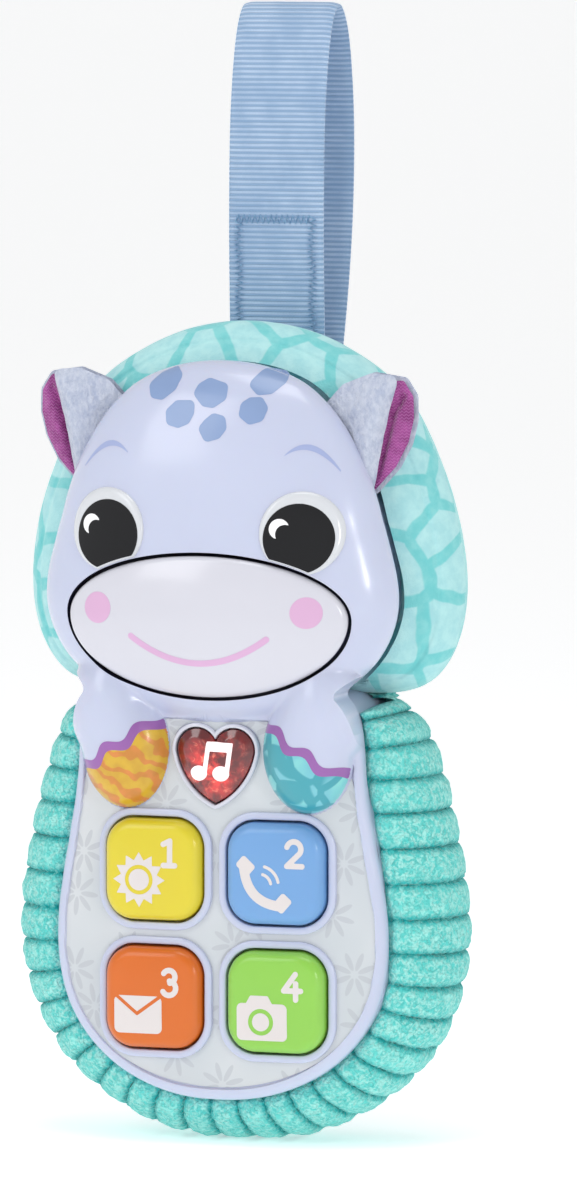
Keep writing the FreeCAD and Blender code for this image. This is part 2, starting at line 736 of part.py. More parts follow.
def make_number_buttons():
    """Four square caps with a retaining flange, a hollow back and a pushing post."""
    for key in BUTTONS:
        x, z = button_place(key)
        body = doc.addObject("PartDesign::Body", "button_body_" + key)
        place(body, x, "0", z)
        flange = rounded_square(body_sketch(body, "flange_sketch_" + key, "flange_back"),
                                "button_size + 2 * flange_width", "button_corner + flange_width")
        pad(body, "flange_" + key, flange, ("flange_front", "flange_back"))
        cap_sketch = rounded_square(body_sketch(body, "cap_sketch_" + key, "flange_back"),
                                    "button_size", "button_corner")
        cap = pad(body, "cap_" + key, cap_sketch, ("button_top", "flange_back"))
        doc.recompute()
        edge = body.newObject("PartDesign::Fillet", "cap_edge_" + key)
        edge.Base = (cap, [front_face(cap.Shape)])
        bind(edge, Radius="button_edge")
        doc.recompute()
        hollow = rounded_square(body_sketch(body, "hollow_sketch_" + key, "button_top + button_roof"),
                                "button_size - 2 * button_wall", "button_corner - button_wall")
        hollow.addGeometry(Part.Circle(Vector(), Vector(0, 0, 1), size("button_post_radius")), False)
        pocket(body, "hollow_" + key, hollow, ("button_top + button_roof", "flange_back"))
        node(body, "number_button_" + key)


def make_heart_button():
    """The clear red heart, with a flange behind the panel and a light well over the lamp."""
    cap = heart_prism("heart_cap", 0.0, ("heart_top", "flange_back"))
    flange = heart_prism("heart_flange_block", size("heart_flange"), ("flange_front", "flange_back"))
    well = rod("heart_light_well", "light_well_radius", ("heart_top + heart_roof", "flange_back"), "0", "heart_level")
    node(cut("heart_cut", fuse("heart_solid", cap, flange), well), "heart_button")


def make_snout_button():
    """The pale oval snout: a crowned shell with a flange and a pushing post."""
    dome = ("snout_dome_across", "snout_crown", "snout_dome_rise", "snout_dome_drop", "parting_plane", "snout_level")
    whole = ("-60", "snout_flange_back")
    wall = size("snout_wall")
    front = common("snout_front", snout_prism("snout_block", 0.0, whole), egg("snout_dome", *dome))
    space = common("snout_space", snout_prism("snout_space_block", -wall, whole),
                   egg("snout_space_dome", *dome, grow="-snout_wall"))
    rim = cut("snout_rim", snout_prism("snout_flange", size("snout_flange_width"),
                                       ("snout_flange_front", "snout_flange_back")),
              snout_prism("snout_flange_hole", -wall, ALL_FRONT))
    post = rod("snout_post", "snout_post_radius", ("snout_post_front", "snout_flange_back"), "0", "snout_level")
    node(fuse("snout_solid", cut("snout_shell", front, space), rim, post), "snout_button")


# ---------------------------------------------------------------- electronics

def board_room(name, gap):
    """The space inside the tub's wall, left clear by a gap, and open above for the tongue."""
    inset = size("tub_inset") + size("tub_wall") + gap
    room = prism(name + "_prism", outline_sketch(name + "_outline", panel_curves(inset)), ("-30", "0"))
    tongue = box(name + "_tongue", ("-tongue_half_width", "tongue_half_width"), ("-30", "0"),
                 ("board_top - 4", "tongue_top"))
    return fuse(name, room, tongue)


def board_plates(name, span, inset):
    """The board's three steps, drawn in by an inset: behind the keys, the heart and the snout."""
    steps = {"keys": ("board_half_width", "board_low + %s" % inset, "board_step"),
             "heart": ("board_waist", "board_step - 1", "board_top"),
             "tongue": ("tongue_half_width", "board_top - 1", "tongue_top")}
    plates = []
    for step, (half, low, high) in steps.items():
        across = ("%s - %s" % (inset, half), "%s - %s" % (half, inset))
        plates.append(box(name + "_" + step, across, span, (low, "%s - %s" % (high, inset))))
    return fuse(name + "_plates", *plates)


def make_board():
    """The circuit board: wide behind the keys, narrow behind the heart, with a tongue behind the snout."""
    back = "board_front + board_thickness"
    plates = board_plates("board", ("board_front", back), "0")
    node(common("board_cut", plates, board_room("board_room", size("board_gap"))), "circuit_board")
    chips = [box("sound_chip", ("-6", "6"), (back, back + " + 1.4"), ("50", "62")),
             rod("capacitor", "2.5", (back, back + " + 5"), "14", "60"),
             rod("crystal", "1.5", (back, back + " + 4"), "-14", "56")]
    node(fuse("component_group", *chips), "board_components")
    lamp = rod("lamp_base", "lamp_radius", ("board_front - lamp_height", "board_front"), "0", "heart_level")
    bulb = ellipsoid("lamp_dome", "lamp_radius", "lamp_rise", "lamp_radius", "0", "board_front - lamp_height",
                     "heart_level")
    node(fuse("lamp", lamp, bulb), "heart_lamp")


def make_keypad():
    """One rubber sheet on the board, with a post under every button and a window for the lamp."""
    plates = board_plates("rubber", ("board_front - rubber_thickness", "board_front"), "rubber_inset")
    room = board_room("keypad_room", size("board_gap") + size("rubber_gap"))
    root = "board_front - 0.5"
    reach = ("flange_back + rubber_post_gap", root)
    posts = [rod("rubber_post_" + key, "rubber_post_radius", reach, *button_place(key)) for key in BUTTONS]
    posts += [rod("rubber_heart_post_%d" % n, "rubber_heart_post_radius", reach,
                  "%d * rubber_heart_post_offset" % side, "heart_level") for n, side in enumerate((-1, 1))]
    posts.append(rod("rubber_snout_post", "rubber_snout_post_radius", ("snout_flange_back + rubber_post_gap", root),
                     "0", "snout_level"))
    window = rod("lamp_window", "lamp_window_radius", ("-30", "0"), "0", "heart_level")
    solid = fuse("keypad_solid", common("keypad_sheet", plates, room), *posts)
    node(cut("keypad_cut", solid, window), "keypad_rubber")


def make_speaker():
    """A small loudspeaker behind the grille, on a foam ring."""
    inside = "back_face - wall"
    rim_y = (inside + " - foam_thickness - speaker_rim", inside + " - foam_thickness")
    rim = rod("speaker_frame", "speaker_radius", rim_y, "0", "speaker_level")
    magnet = rod("speaker_magnet", "magnet_radius", (inside + " - speaker_depth", rim_y[1]), "0", "speaker_level")
    node(fuse("speaker_solid", rim, magnet), "speaker")
    ring_y = (rim_y[1], inside)
    ring = rod("foam_ring", "speaker_radius", ring_y, "0", "speaker_level")
    hole = rod("foam_hole", "speaker_radius - foam_width", ring_y, "0", "speaker_level")
    node(cut("speaker_foam_cut", ring, hole), "speaker_foam")
    leads = [rod("speaker_lead_%d" % n, "lead_radius", ("board_front + board_thickness", rim_y[0]),
                 "%d * lead_offset" % side, "speaker_level - lead_drop") for n, side in enumerate((-1, 1))]
    node(fuse("speaker_lead_pair", *leads), "speaker_leads")


def cell_part(name, radius, length, start, level):
    """A cylinder of a battery cell, lying along X from a start."""
    item = doc.addObject("Part::Cylinder", name)
    item.Placement = FreeCAD.Placement(Vector(), FreeCAD.Rotation(Vector(0, 1, 0), 90))
    bind(item, Radius=radius, Height=length)
    return place(item, start, "battery_depth", level)


def make_batteries():
    """Two cells side by side across the bay, with a coil spring and a plate at the ends of each."""
    cells = []
    for level, plus in (("battery_low", 1), ("battery_high", -1)):
        start = "-battery_length / 2 + %d * battery_shift" % plus
        can_start = start if plus > 0 else start + " + battery_cap"
        can = cell_part("cell_" + level, "battery_radius", "battery_length - battery_cap", can_start, level)
        cap = cell_part("cell_cap_" + level, "battery_cap_radius", "battery_length", start, level)
        cells.append(fuse("cell_solid_" + level, can, cap))
    node(fuse("cell_pair", *cells), "batteries")
    plates = []
    springs = []
    for side, hand in ((-1, "left"), (1, "right")):
        inner, outer = sorted((side * (size("bay_half_width") - size("contact_thickness")),
                               side * size("bay_half_width")))
        plates.append(box("contact_" + hand, (inner, outer), ("contact_front", "contact_back"),
                          ("contact_low", "contact_high")))
        plates.append(box("contact_tab_" + hand, (inner, outer), ("board_front + board_thickness", "tab_back"),
                          ("tab_low", "tab_high")))
        springs.append(contact_spring("spring_" + hand, side, "battery_low" if side < 0 else "battery_high"))
    node(fuse("contact_plates", *plates), "battery_contacts")
    node(fuse("spring_pair", *springs), "battery_springs")


def contact_spring(name, side, level):
    """A short coil between the end plate and the flat end of a cell, as rings joined by a bar."""
    wire = size("spring_wire")
    gap = size("spring_gap")
    plate = size("bay_half_width") - size("contact_thickness")
    cell_end = size("battery_length") / 2 - size("battery_shift")
    first = cell_end + wire + gap
    pitch = (plate - cell_end - 2 * wire - 2 * gap) / 2
    rings = []
    for k in range(3):
        ring = doc.addObject("Part::Torus", "%s_ring_%d" % (name, k))
        ring.Placement = FreeCAD.Placement(Vector(), FreeCAD.Rotation(Vector(0, 1, 0), 90))
        bind(ring, Radius1="spring_radius", Radius2="spring_wire")
        rings.append(place(ring, side * (first + k * pitch), "battery_depth", level))
    bar = doc.addObject("Part::Cylinder", name + "_bar")
    bar.Placement = FreeCAD.Placement(Vector(), FreeCAD.Rotation(Vector(0, 1, 0), 90 * side))
    bar.Radius = 0.8 * wire
    bar.Height = 2 * pitch
    place(bar, side * first, "battery_depth + spring_radius", level)
    return fuse(name, bar, *rings)


def make_door():
    """The battery door lies flush in its recess and is held by one captive screw."""
    plate = box("door_plate", ("-door_half_width", "door_half_width"), ("back_face - door_thickness", "back_face"),
                ("door_low", "door_high"))
    ribs = [box("door_rib_%d" % n, ("%d * door_rib_offset - door_rib / 2" % side,
                                    "%d * door_rib_offset + door_rib / 2" % side),
                ("back_face - door_thickness - door_rib_depth", "back_face - 1"),
                ("battery_low - door_rib_reach", "battery_high + door_rib_reach"))
            for n, side in enumerate((-1, 1))]
    way = rod("door_screw_way", "screw_radius + boss_gap", ("0", "back_face + 1"), "0", "door_screw_level")
    seat = rod("door_screw_seat_bore", "door_screw_seat_radius", ("back_face - door_screw_seat", "back_face + 1"),
               "0", "door_screw_level")
    node(cut("door_cut", fuse("door_solid", plate, *ribs), way, seat), "battery_door")
    top = "back_face + door_screw_proud"
    head = rod("door_screw_head", "door_screw_head_radius", ("back_face - door_screw_seat + 0.05", top),
               "0", "door_screw_level")
    shank = rod("door_screw_shank", "screw_radius", ("door_screw_front", "back_face - 0.5"), "0", "door_screw_level")
    cross = cross_slot("door_screw_slot", "0", top, "door_screw_level")
    node(cut("door_screw_cut", fuse("door_screw_solid", head, shank), cross), "battery_door_screw")


def cross_slot(name, x, y, z):
    """The crossed slots in a screw's head."""
    span = ("(%s) - screw_slot_depth" % y, "(%s) + screw_slot_depth" % y)
    sides = {"x": ("(%s) - %%s / 2" % x, "(%s) + %%s / 2" % x), "z": ("(%s) - %%s / 2" % z, "(%s) + %%s / 2" % z)}
    arms = []
    for across, upright in (("screw_slot_length", "screw_slot_width"), ("screw_slot_width", "screw_slot_length")):
        arms.append(box("%s_%d" % (name, len(arms)), [side % across for side in sides["x"]], span,
                        [side % upright for side in sides["z"]]))
    return fuse(name, *arms)


def make_switch():
    """The three-position slide switch: a casing inside the wall and a knob that runs in its slot."""
    case = box("switch_block", ("-switch_case_half_width", "switch_case_half_width"),
               ("switch_case_front", "back_face - wall"),
               ("switch_level - switch_case_half_height", "switch_level + switch_case_half_height"))
    way = box("switch_way", ("-switch_travel - switch_slot_end", "switch_travel + switch_slot_end"),
              ("switch_case_floor", "back_face"),
              ("switch_level - switch_slot_half_height", "switch_level + switch_slot_half_height"))
    node(cut("switch_case_cut", case, way), "switch_case")
    body = doc.addObject("PartDesign::Body", "knob_body")
    place(body, "0", "0", "switch_level")
    stem_top = "back_face + stem_proud"
    stem_sketch = block_sketch(body_sketch(body, "stem_sketch", stem_top), size("stem_width"), size("stem_height"))
    pad(body, "knob_stem", stem_sketch, ("back_face - wall - stem_length", stem_top))
    grip_top = "back_face + grip_high"
    grip_sketch = block_sketch(body_sketch(body, "grip_sketch", grip_top), size("grip_width"), size("grip_height"))
    pad(body, "knob_grip", grip_sketch, ("back_face + grip_low", grip_top))
    node(body, "power_switch")


def block_sketch(sketch, across, upright):
    """A rectangle about the sketch's origin."""
    corners = [Vector(sx * across / 2, sy * upright / 2, 0) for sx, sy in ((-1, -1), (1, -1), (1, 1), (-1, 1))]
    sketch.addGeometry([Part.LineSegment(corners[k], corners[(k + 1) % 4]) for k in range(4)], False)
    return sketch


def make_screws():
    """The casing's seven identical screws, driven from the back."""
    screws = []
    for n, (x, z) in enumerate(BODY_SCREWS + HEAD_SCREWS):
        seat, tip = ("screw_seat", "screw_tip") if n < len(BODY_SCREWS) else ("brow_screw_seat", "brow_screw_tip")
        top = seat + " + screw_head_height"
        head = rod("screw_head_%d" % n, "screw_head_radius", (seat, top), x, z)
        shank = rod("screw_shank_%d" % n, "screw_radius", (tip, seat + " + 0.5"), x, z)
        slot = cross_slot("screw_slot_%d" % n, x, top, z)
        screws.append(cut("screw_%d" % n, fuse("screw_solid_%d" % n, head, shank), slot))
    node(fuse("screw_group", *screws), "housing_screws")


# --------------------------------------------------------------- soft pieces

def make_plush_body():
    """The ribbed plush wrap: round the sides and back, flat where it stands, open over the battery door."""
    pad_solid = egg("plush_egg", *PLUSH)
    limits = box("plush_limits", ("-80", "80"), ("parting_plane + fabric_gap", "60"), ("0", "plush_top"))
    room_prism = prism("plush_room_prism", outline_sketch("plush_room_outline",
                       panel_curves(size("tub_inset") - size("fabric_gap"))), ("-40", "back_face + fabric_gap"))
    room = common("plush_room", room_prism, back_limit("plush_room_limit", "fabric_gap - tub_back_inset"))
    window = prism("plush_window", rounded_window(), ("back_face - window_front_gap", "60"))
    node(cut("plush_cut", common("plush_block", pad_solid, limits), room, window), "plush_body")


def rounded_window():
    """The opening in the plush's back: upright sides and round ends about the door, switch and grille."""
    side, low, high, radius = [size("window_" + part) for part in ("half_width", "low", "high", "corner")]
    curves = []
    for hand in (1, -1):
        curves.append(Part.LineSegment(Vector(hand * side, low + radius, 0), Vector(hand * side, high - radius, 0)))
        for level, end in ((low + radius, -1), (high - radius, 1)):
            centre = Vector(hand * (side - radius), level, 0)
            middle = centre + Vector(hand * radius, end * radius, 0) * math.sqrt(0.5)
            curves.append(Part.Arc(centre + Vector(hand * radius, 0, 0), middle, centre + Vector(0, end * radius, 0)))
    for level in (low, high):
        curves.append(Part.LineSegment(Vector(-side + radius, level, 0), Vector(side - radius, level, 0)))
    return outline_sketch("plush_window_outline", curves)


def make_hood():
    """The padded hood behind the head, hollowed for the back of the head."""
    pad_solid = egg("hood_egg", "hood_half_width", "hood_half_depth", "hood_rise", "hood_drop",
                    "hood_centre_back", "hood_centre")
    limits = box("hood_limits", ("-80", "80"), ("-40", "60"), ("hood_bottom", FAR))
    room = prism("hood_room", head_outline("hood_room_outline", size("head_tub_inset") - size("fabric_gap")),
                 ("-40", "head_back_face + fabric_gap"))
    neck_curves = panel_curves(size("tub_inset") - size("fabric_gap"))
    neck = prism("hood_neck_room", outline_sketch("hood_neck_outline", neck_curves), ("-40", "back_face + fabric_gap"))
    node(cut("hood_cut", common("hood_block", pad_solid, limits), room, neck), "hood")


def make_ears():
    """Two folded ears that stand out between the head's edge and the hood, each with a lining."""
    spots = {name: Vector(x, z, 0) for name, (x, z) in EAR_SPOTS.items()}
    outer = [Part.LineSegment(spots["root_low"], spots["root_high"]),
             Part.Arc(spots["root_high"], spots["crest"], spots["tip"]),
             Part.LineSegment(spots["tip"], spots["fold"]), Part.LineSegment(spots["fold"], spots["root_low"])]
    root, fold, tip = [spots[name] + Vector(*EAR_SEAM_GAP, 0) for name in ("root_low", "fold", "tip")]
    lining = [Part.LineSegment(root, fold), Part.LineSegment(fold, tip), Part.Arc(tip, spots["edge"], root)]
    for name, curves in (("ear", outer), ("ear_lining", lining)):
        right = prism(name + "_prism", outline_sketch(name + "_outline", curves), ("ear_front", "ear_back"))
        node(right, name + "_right")
        node(mirrored(name + "_mirror", right), name + "_left")


EAR_SPOTS = {"root_low": (35.6, 131.5), "root_high": (26.5, 147.2), "crest": (32.5, 152.6), "tip": (38.6, 152.4),
             "fold": (36.6, 140.5), "edge": (40.4, 143.0)}
EAR_SEAM_GAP = (0.2, -0.1)
STRAP_ROUTE = [(17.6, 121.0), (17.9, 135.0), (18.0, 150.0), (17.2, 166.0), (16.9, 185.0), (17.8, 204.0),
               (21.2, 218.5), (26.3, 224.0), (31.6, 218.5), (34.6, 205.0), (34.8, 190.0), (32.8, 174.0),
               (28.6, 157.0), (23.8, 143.0), (21.2, 132.0), (20.6, 121.0)]
HOOK_SPAN = (0.03, 0.24)
LOOP_SPAN = (0.84, 0.985)


def band(name, label, low, high, width, start, end):
    """A strip beside the strap's middle line, between two offsets and two shares of its length."""
    line = Part.BSplineCurve()
    line.interpolate([Vector(0, y, z) for y, z in STRAP_ROUTE])
    count = 4 * len(STRAP_ROUTE)
    spots = [line.parameterAtDistance(line.length() * (start + (end - start) * k / count)) for k in range(count + 1)]
    sides = []
    for offset in (low, high):
        edge = Part.BSplineCurve()
        points = []
        for spot in spots:
            direction = line.tangent(spot)[0]
            points.append(line.value(spot) + Vector(0, direction.z, -direction.y) * offset)
        edge.interpolate(points)
        sides.append(edge)
    first, second = sides
    ends = [Part.LineSegment(first.value(first.LastParameter), second.value(second.LastParameter)),
            Part.LineSegment(second.value(second.FirstParameter), first.value(first.FirstParameter))]
    outline = Part.Wire([first.toShape(), ends[0].toShape(), second.toShape(), ends[1].toShape()])
    item = doc.addObject("Part::Feature", name)
    item.Shape = Part.Face(outline).extrude(Vector(width, 0, 0))
    item.Placement = FreeCAD.Placement(Vector(-width / 2, 0, 0), FreeCAD.Rotation())
    node(item, label)


def make_strap():
    """The webbing loop: sewn at its root behind the hood, over the top, and back to a hook-and-loop joint."""
    half = size("strap_thickness") / 2
    patch = size("patch_thickness")
    band("strap_band", "strap", -half, half, size("strap_width"), 0.0, 1.0)
    low = half + size("patch_gap")
    band("hook_band", "hook_patch", low, low + patch, size("patch_width"), *HOOK_SPAN)
    band("loop_band", "loop_patch", low, low + patch, size("patch_width"), *LOOP_SPAN)


# ------------------------------------------------------------------- the set

def check_document():
    """Stop if any object failed, or any sub-part's shape is empty or not valid."""
    for item in doc.Objects:
        if {"Invalid", "Error"} & set(item.State):
            raise RuntimeError("%s is in state %s" % (item.Name, item.State))
    for item in NODES:
        if item.Shape.isNull() or not item.Shape.isValid() or not item.Shape.Solids:
            raise RuntimeError("%s has no valid solid" % item.Label)


def main():
    make_front_housing()
    make_film()
    make_eyes()
    make_rear_housing()
    make_number_buttons()
    make_heart_button()
    make_snout_button()
    make_board()
    make_keypad()
    make_speaker()
    make_batteries()
    make_door()
    make_switch()
    make_screws()
    make_plush_body()
    make_hood()
    make_ears()
    make_strap()
    doc.recompute()
    check_document()
    os.makedirs("parts", exist_ok=True)
    for item in NODES:
        item.Shape.exportStep("parts/%s.step" % item.Label)
        bounds = item.Shape.optimalBoundingBox()
        print("%-20s %d solid  %9.1f mm3  x %6.1f %6.1f  y %6.1f %6.1f  z %6.1f %6.1f" % (
            item.Label, len(item.Shape.Solids), item.Shape.Volume, bounds.XMin, bounds.XMax,
            bounds.YMin, bounds.YMax, bounds.ZMin, bounds.ZMax))


main()
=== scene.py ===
"""The looks of a baby's toy phone: an animal-faced plastic phone in ribbed plush, with a hood and a strap.

Shapes are worked out in millimetres in the frame's axes: X to the viewer's right, -Y to the front, Z up.
"""
import math

import bmesh
import bpy
import numpy as np
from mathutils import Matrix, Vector, noise


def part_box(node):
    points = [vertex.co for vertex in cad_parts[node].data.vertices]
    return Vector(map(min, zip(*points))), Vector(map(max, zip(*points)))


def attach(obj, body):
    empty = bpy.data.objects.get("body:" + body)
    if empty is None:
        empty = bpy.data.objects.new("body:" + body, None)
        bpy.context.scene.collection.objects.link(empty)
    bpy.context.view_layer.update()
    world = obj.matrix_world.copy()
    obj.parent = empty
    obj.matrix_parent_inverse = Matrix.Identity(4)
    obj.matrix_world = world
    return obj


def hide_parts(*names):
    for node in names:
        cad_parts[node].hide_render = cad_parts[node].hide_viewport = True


MM = 0.001

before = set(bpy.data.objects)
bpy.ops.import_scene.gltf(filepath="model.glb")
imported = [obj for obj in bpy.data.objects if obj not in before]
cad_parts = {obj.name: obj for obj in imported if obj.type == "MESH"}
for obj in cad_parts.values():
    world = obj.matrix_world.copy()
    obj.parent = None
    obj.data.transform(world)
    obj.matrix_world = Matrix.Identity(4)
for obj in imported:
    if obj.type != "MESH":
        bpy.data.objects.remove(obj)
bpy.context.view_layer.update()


def node_box(node):
    """Lowest and highest corner of a CAD node, in millimetres."""
    low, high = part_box(node)
    return np.array(low) / MM, np.array(high) / MM


def middle_of(node):
    low, high = node_box(node)
    return (low + high) / 2


# ------------------------------------------------------------------ outlines and fields
# A field is a function of x and z: about the distance to an outline, negative inside it.

def polar_field(centre, points, spread=3.0):
    """A smooth closed outline, the same left and right, through points of its right half."""
    x, z = np.array(points, float).T
    angle, radius = np.arctan2(x, z - centre), np.hypot(x, z - centre)
    order = np.argsort(angle)
    fine = np.linspace(0, math.pi, 721)
    half = np.interp(fine, angle[order], radius[order])
    whole = np.concatenate([half, half[-2:0:-1]])
    steps = np.arange(len(whole))
    away = np.minimum(steps, len(whole) - steps) * 360 / len(whole)
    kernel = np.exp(-0.5 * (away / spread) ** 2)
    soft = np.real(np.fft.ifft(np.fft.fft(whole) * np.fft.fft(kernel / kernel.sum())))[:len(fine)]

    def field(x, z):
        return np.hypot(x, z - centre) - np.interp(np.abs(np.arctan2(x, z - centre)), fine, soft)
    return field


def egg_field(across, rise, drop, level):
    """Two half ellipses that share their widest line."""
    def field(x, z):
        up = np.where(z > level, rise, drop)
        ratio = np.hypot(x / across, (z - level) / up) + 1e-9
        slope = np.hypot(x / across ** 2, (z - level) / up ** 2) / ratio + 1e-9
        return np.clip((ratio - 1) / slope, -up, 80)
    return field


def box_field(x0, z0, half_x, half_z, corner, tilt=0.0):
    """A rectangle with round corners, turned by tilt degrees."""
    c, s = math.cos(math.radians(tilt)), math.sin(math.radians(tilt))

    def field(x, z):
        u = np.abs((x - x0) * c + (z - z0) * s) - half_x + corner
        v = np.abs((z - z0) * c - (x - x0) * s) - half_z + corner
        outside = np.hypot(np.maximum(u, 0), np.maximum(v, 0))
        return outside + np.minimum(np.maximum(u, v), 0) - corner
    return field


def disc_field(x0, z0, radius):
    return lambda x, z: np.hypot(x - x0, z - z0) - radius


def from_segment(x, z, a, b):
    """Distance from the stretch of line between a and b."""
    (ax, az), (bx, bz) = a, b
    ex, ez = bx - ax, bz - az
    along = np.clip(((x - ax) * ex + (z - az) * ez) / (ex * ex + ez * ez + 1e-12), 0, 1)
    return np.hypot(x - ax - along * ex, z - az - along * ez)


def polygon_field(points, rounding=0.0):
    """A closed polygon, with its corners rounded outwards by rounding."""
    corners = np.array(points, float)

    def field(x, z):
        nearest = np.full(np.shape(x), 1e9)
        inside = np.zeros(np.shape(x), bool)
        for a, b in zip(corners, np.roll(corners, -1, 0)):
            nearest = np.minimum(nearest, from_segment(x, z, a, b))
            crosses = (a[1] > z) != (b[1] > z)
            run, rise = b - a
            rise = rise if abs(rise) > 1e-12 else 1e-12
            inside ^= crosses & (x < a[0] + (z - a[1]) * run / rise)
        return np.where(inside, -nearest, nearest) - rounding
    return field


def stroke_field(points, width):
    """A line through points, drawn with a round pen."""
    def field(x, z):
        nearest = np.full(np.shape(x), 1e9)
        for a, b in zip(points[:-1], points[1:]):
            nearest = np.minimum(nearest, from_segment(x, z, a, b))
        return nearest - width / 2
    return field


def union(*fields):
    return lambda x, z: np.minimum.reduce([f(x, z) for f in fields])


def overlap(*fields):
    return lambda x, z: np.maximum.reduce([f(x, z) for f in fields])


def outside(field, gap=0.0):
    return lambda x, z: gap - field(x, z)


def grown(field, amount):
    return lambda x, z: field(x, z) - amount


def shifted(field, dx, dz):
    return lambda x, z: field(x - dx, z - dz)


def scaled(field, factor):
    return lambda x, z: field(x / factor, z / factor)


def mirrored(field):
    return lambda x, z: field(-x, z)


def arc_points(centre, radius, start, end, count=14):
    """Points on a circle; angles in degrees, counter-clockwise from +X."""
    turn = np.radians(np.linspace(start, end, count))
    return [(centre[0] + radius * math.cos(t), centre[1] + radius * math.sin(t)) for t in turn]


def arc_through(a, b, c, count=16):
    """Points on the arc from a through b to c, without c."""
    (ax, ay), (bx, by), (cx, cy) = a, b, c
    d = 2 * (ax * (by - cy) + bx * (cy - ay) + cx * (ay - by))
    sa, sb, sc = ax * ax + ay * ay, bx * bx + by * by, cx * cx + cy * cy
    ux = (sa * (by - cy) + sb * (cy - ay) + sc * (ay - by)) / d
    uy = (sa * (cx - bx) + sb * (ax - cx) + sc * (bx - ax)) / d
    start, middle, end = [math.atan2(p[1] - uy, p[0] - ux) for p in (a, b, c)]
    span = (end - start) % (2 * math.pi)
    if (middle - start) % (2 * math.pi) > span:
        span -= 2 * math.pi
    radius = math.hypot(ax - ux, ay - uy)
    turn = start + span * np.arange(count) / count
    return [(ux + radius * math.cos(t), uy + radius * math.sin(t)) for t in turn]


def bent(start, pull, end, count=14):
    """A curve from start to end that leans towards pull."""
    t = np.linspace(0, 1, count)[:, None]
    a, b, c = [np.array(p, float) for p in (start, pull, end)]
    return [tuple(p) for p in (1 - t) ** 2 * a + 2 * t * (1 - t) * b + t ** 2 * c]


def full_turn(count):
    return np.linspace(0, 2 * math.pi, count, endpoint=False)


def polar(x0, z0, radius, angle):
    """Points at a radius from (x0, z0). Angle 0 is up, a quarter turn is +X."""
    return x0 + radius * np.sin(angle), z0 + radius * np.cos(angle)


def reach(field, x0, z0, angle, inset=0.0, far=140.0):
    """How far a line from (x0, z0) at an angle runs until it is inset short of the outline."""
    near = np.zeros(np.shape(angle))
    end = np.full(np.shape(angle), far)
    for _ in range(36):
        middle = (near + end) / 2
        within = field(*polar(x0, z0, middle, angle)) < -inset
        near = np.where(within, middle, near)
        end = np.where(within, end, middle)
    return near


def soft_max(a, b, width):
    return (a + b + np.sqrt((a - b) ** 2 + width ** 2)) / 2


def smooth_step(value, low, high):
    t = np.clip((value - low) / (high - low), 0, 1)
    return t * t * (3 - 2 * t)


# ------------------------------------------------------------------ meshes

def added(name, data):
    thing = bpy.data.objects.new(name, data)
    bpy.context.scene.collection.objects.link(thing)
    return thing


def cover(mesh, *materials):
    """Gives a mesh these materials in place of any it had."""
    mesh.materials.clear()
    for material in materials:
        mesh.materials.append(material)


def make_piece(name, points, faces, material, body, node=None, slot=None, sharp=35.0):
    """A closed mesh piece from millimetre points, with its normals outward, riding on a body."""
    mesh = bpy.data.meshes.new(name)
    mesh.from_pydata((np.asarray(points, float) * MM).tolist(), [], faces)
    shell = bmesh.new()
    shell.from_mesh(mesh)
    bmesh.ops.recalc_face_normals(shell, faces=shell.faces)
    shell.to_mesh(mesh)
    shell.free()
    piece = added(name, mesh)
    cover(mesh, material)
    shade(piece, sharp)
    if body:
        settle(piece, body, node, slot)
    return piece


def shade(piece, sharp):
    piece.data.shade_smooth()
    piece.data.set_sharp_from_angle(angle=math.radians(sharp))


def settle(piece, body, nodes=None, slot=None):
    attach(piece, body)
    if nodes:
        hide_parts(*([nodes] if isinstance(nodes, str) else nodes))


def grid_faces(rows, columns, close_rows=False):
    """Quads of a grid of points: each row is a closed loop, and so is each column if close_rows."""
    last_row = rows if close_rows else rows - 1
    faces = []
    for i in range(last_row):
        a, b = i * columns, (i + 1) % rows * columns
        for j in range(columns):
            k = (j + 1) % columns
            faces.append((a + j, a + k, b + k, b + j))
    return faces


def loft(rings):
    """Points and faces of closed rings joined one to the next, with a point in the middle of each end."""
    rings = np.asarray(rings, float)
    rows, columns = rings.shape[:2]
    points = rings.reshape(-1, 3)
    faces = grid_faces(rows, columns)
    for end in (0, rows - 1):
        centre = len(points)
        points = np.vstack([points, rings[end].mean(0)])
        faces += [(end * columns + j, end * columns + (j + 1) % columns, centre) for j in range(columns)]
    return points, faces


def ring_form(field, x0, z0, levels, surface, count=160, cap_rings=14):
    """A pressed-out form: rings at (inset, y) levels from the back forward, closed by a surface y(x, z).

    The last levels' y is a drop behind the surface, marked by a third value, so that edges follow a dome.
    """
    angle = full_turn(count)
    rings = []
    for inset, y, follows in levels:
        radius = reach(field, x0, z0, angle, inset)
        x, z = polar(x0, z0, radius, angle)
        depth = surface(x, z) + y if follows else np.full(count, y)
        rings.append(np.stack([x, depth, z], 1))
    last = rings[-1]
    for share in np.linspace(1, 0.02, cap_rings)[1:]:
        x, z = x0 + (last[:, 0] - x0) * share, z0 + (last[:, 2] - z0) * share
        rings.append(np.stack([x, surface(x, z), z], 1))
    return loft(rings)


def rounded_edge(radius, steps=6, start_inset=0.0):
    """(inset, y behind the surface, follows) along a quarter round, from the side to the face."""
    turn = np.linspace(0, math.pi / 2, steps)
    return [(start_inset + radius * (1 - math.cos(t)), radius * (1 - math.sin(t)), True) for t in turn]


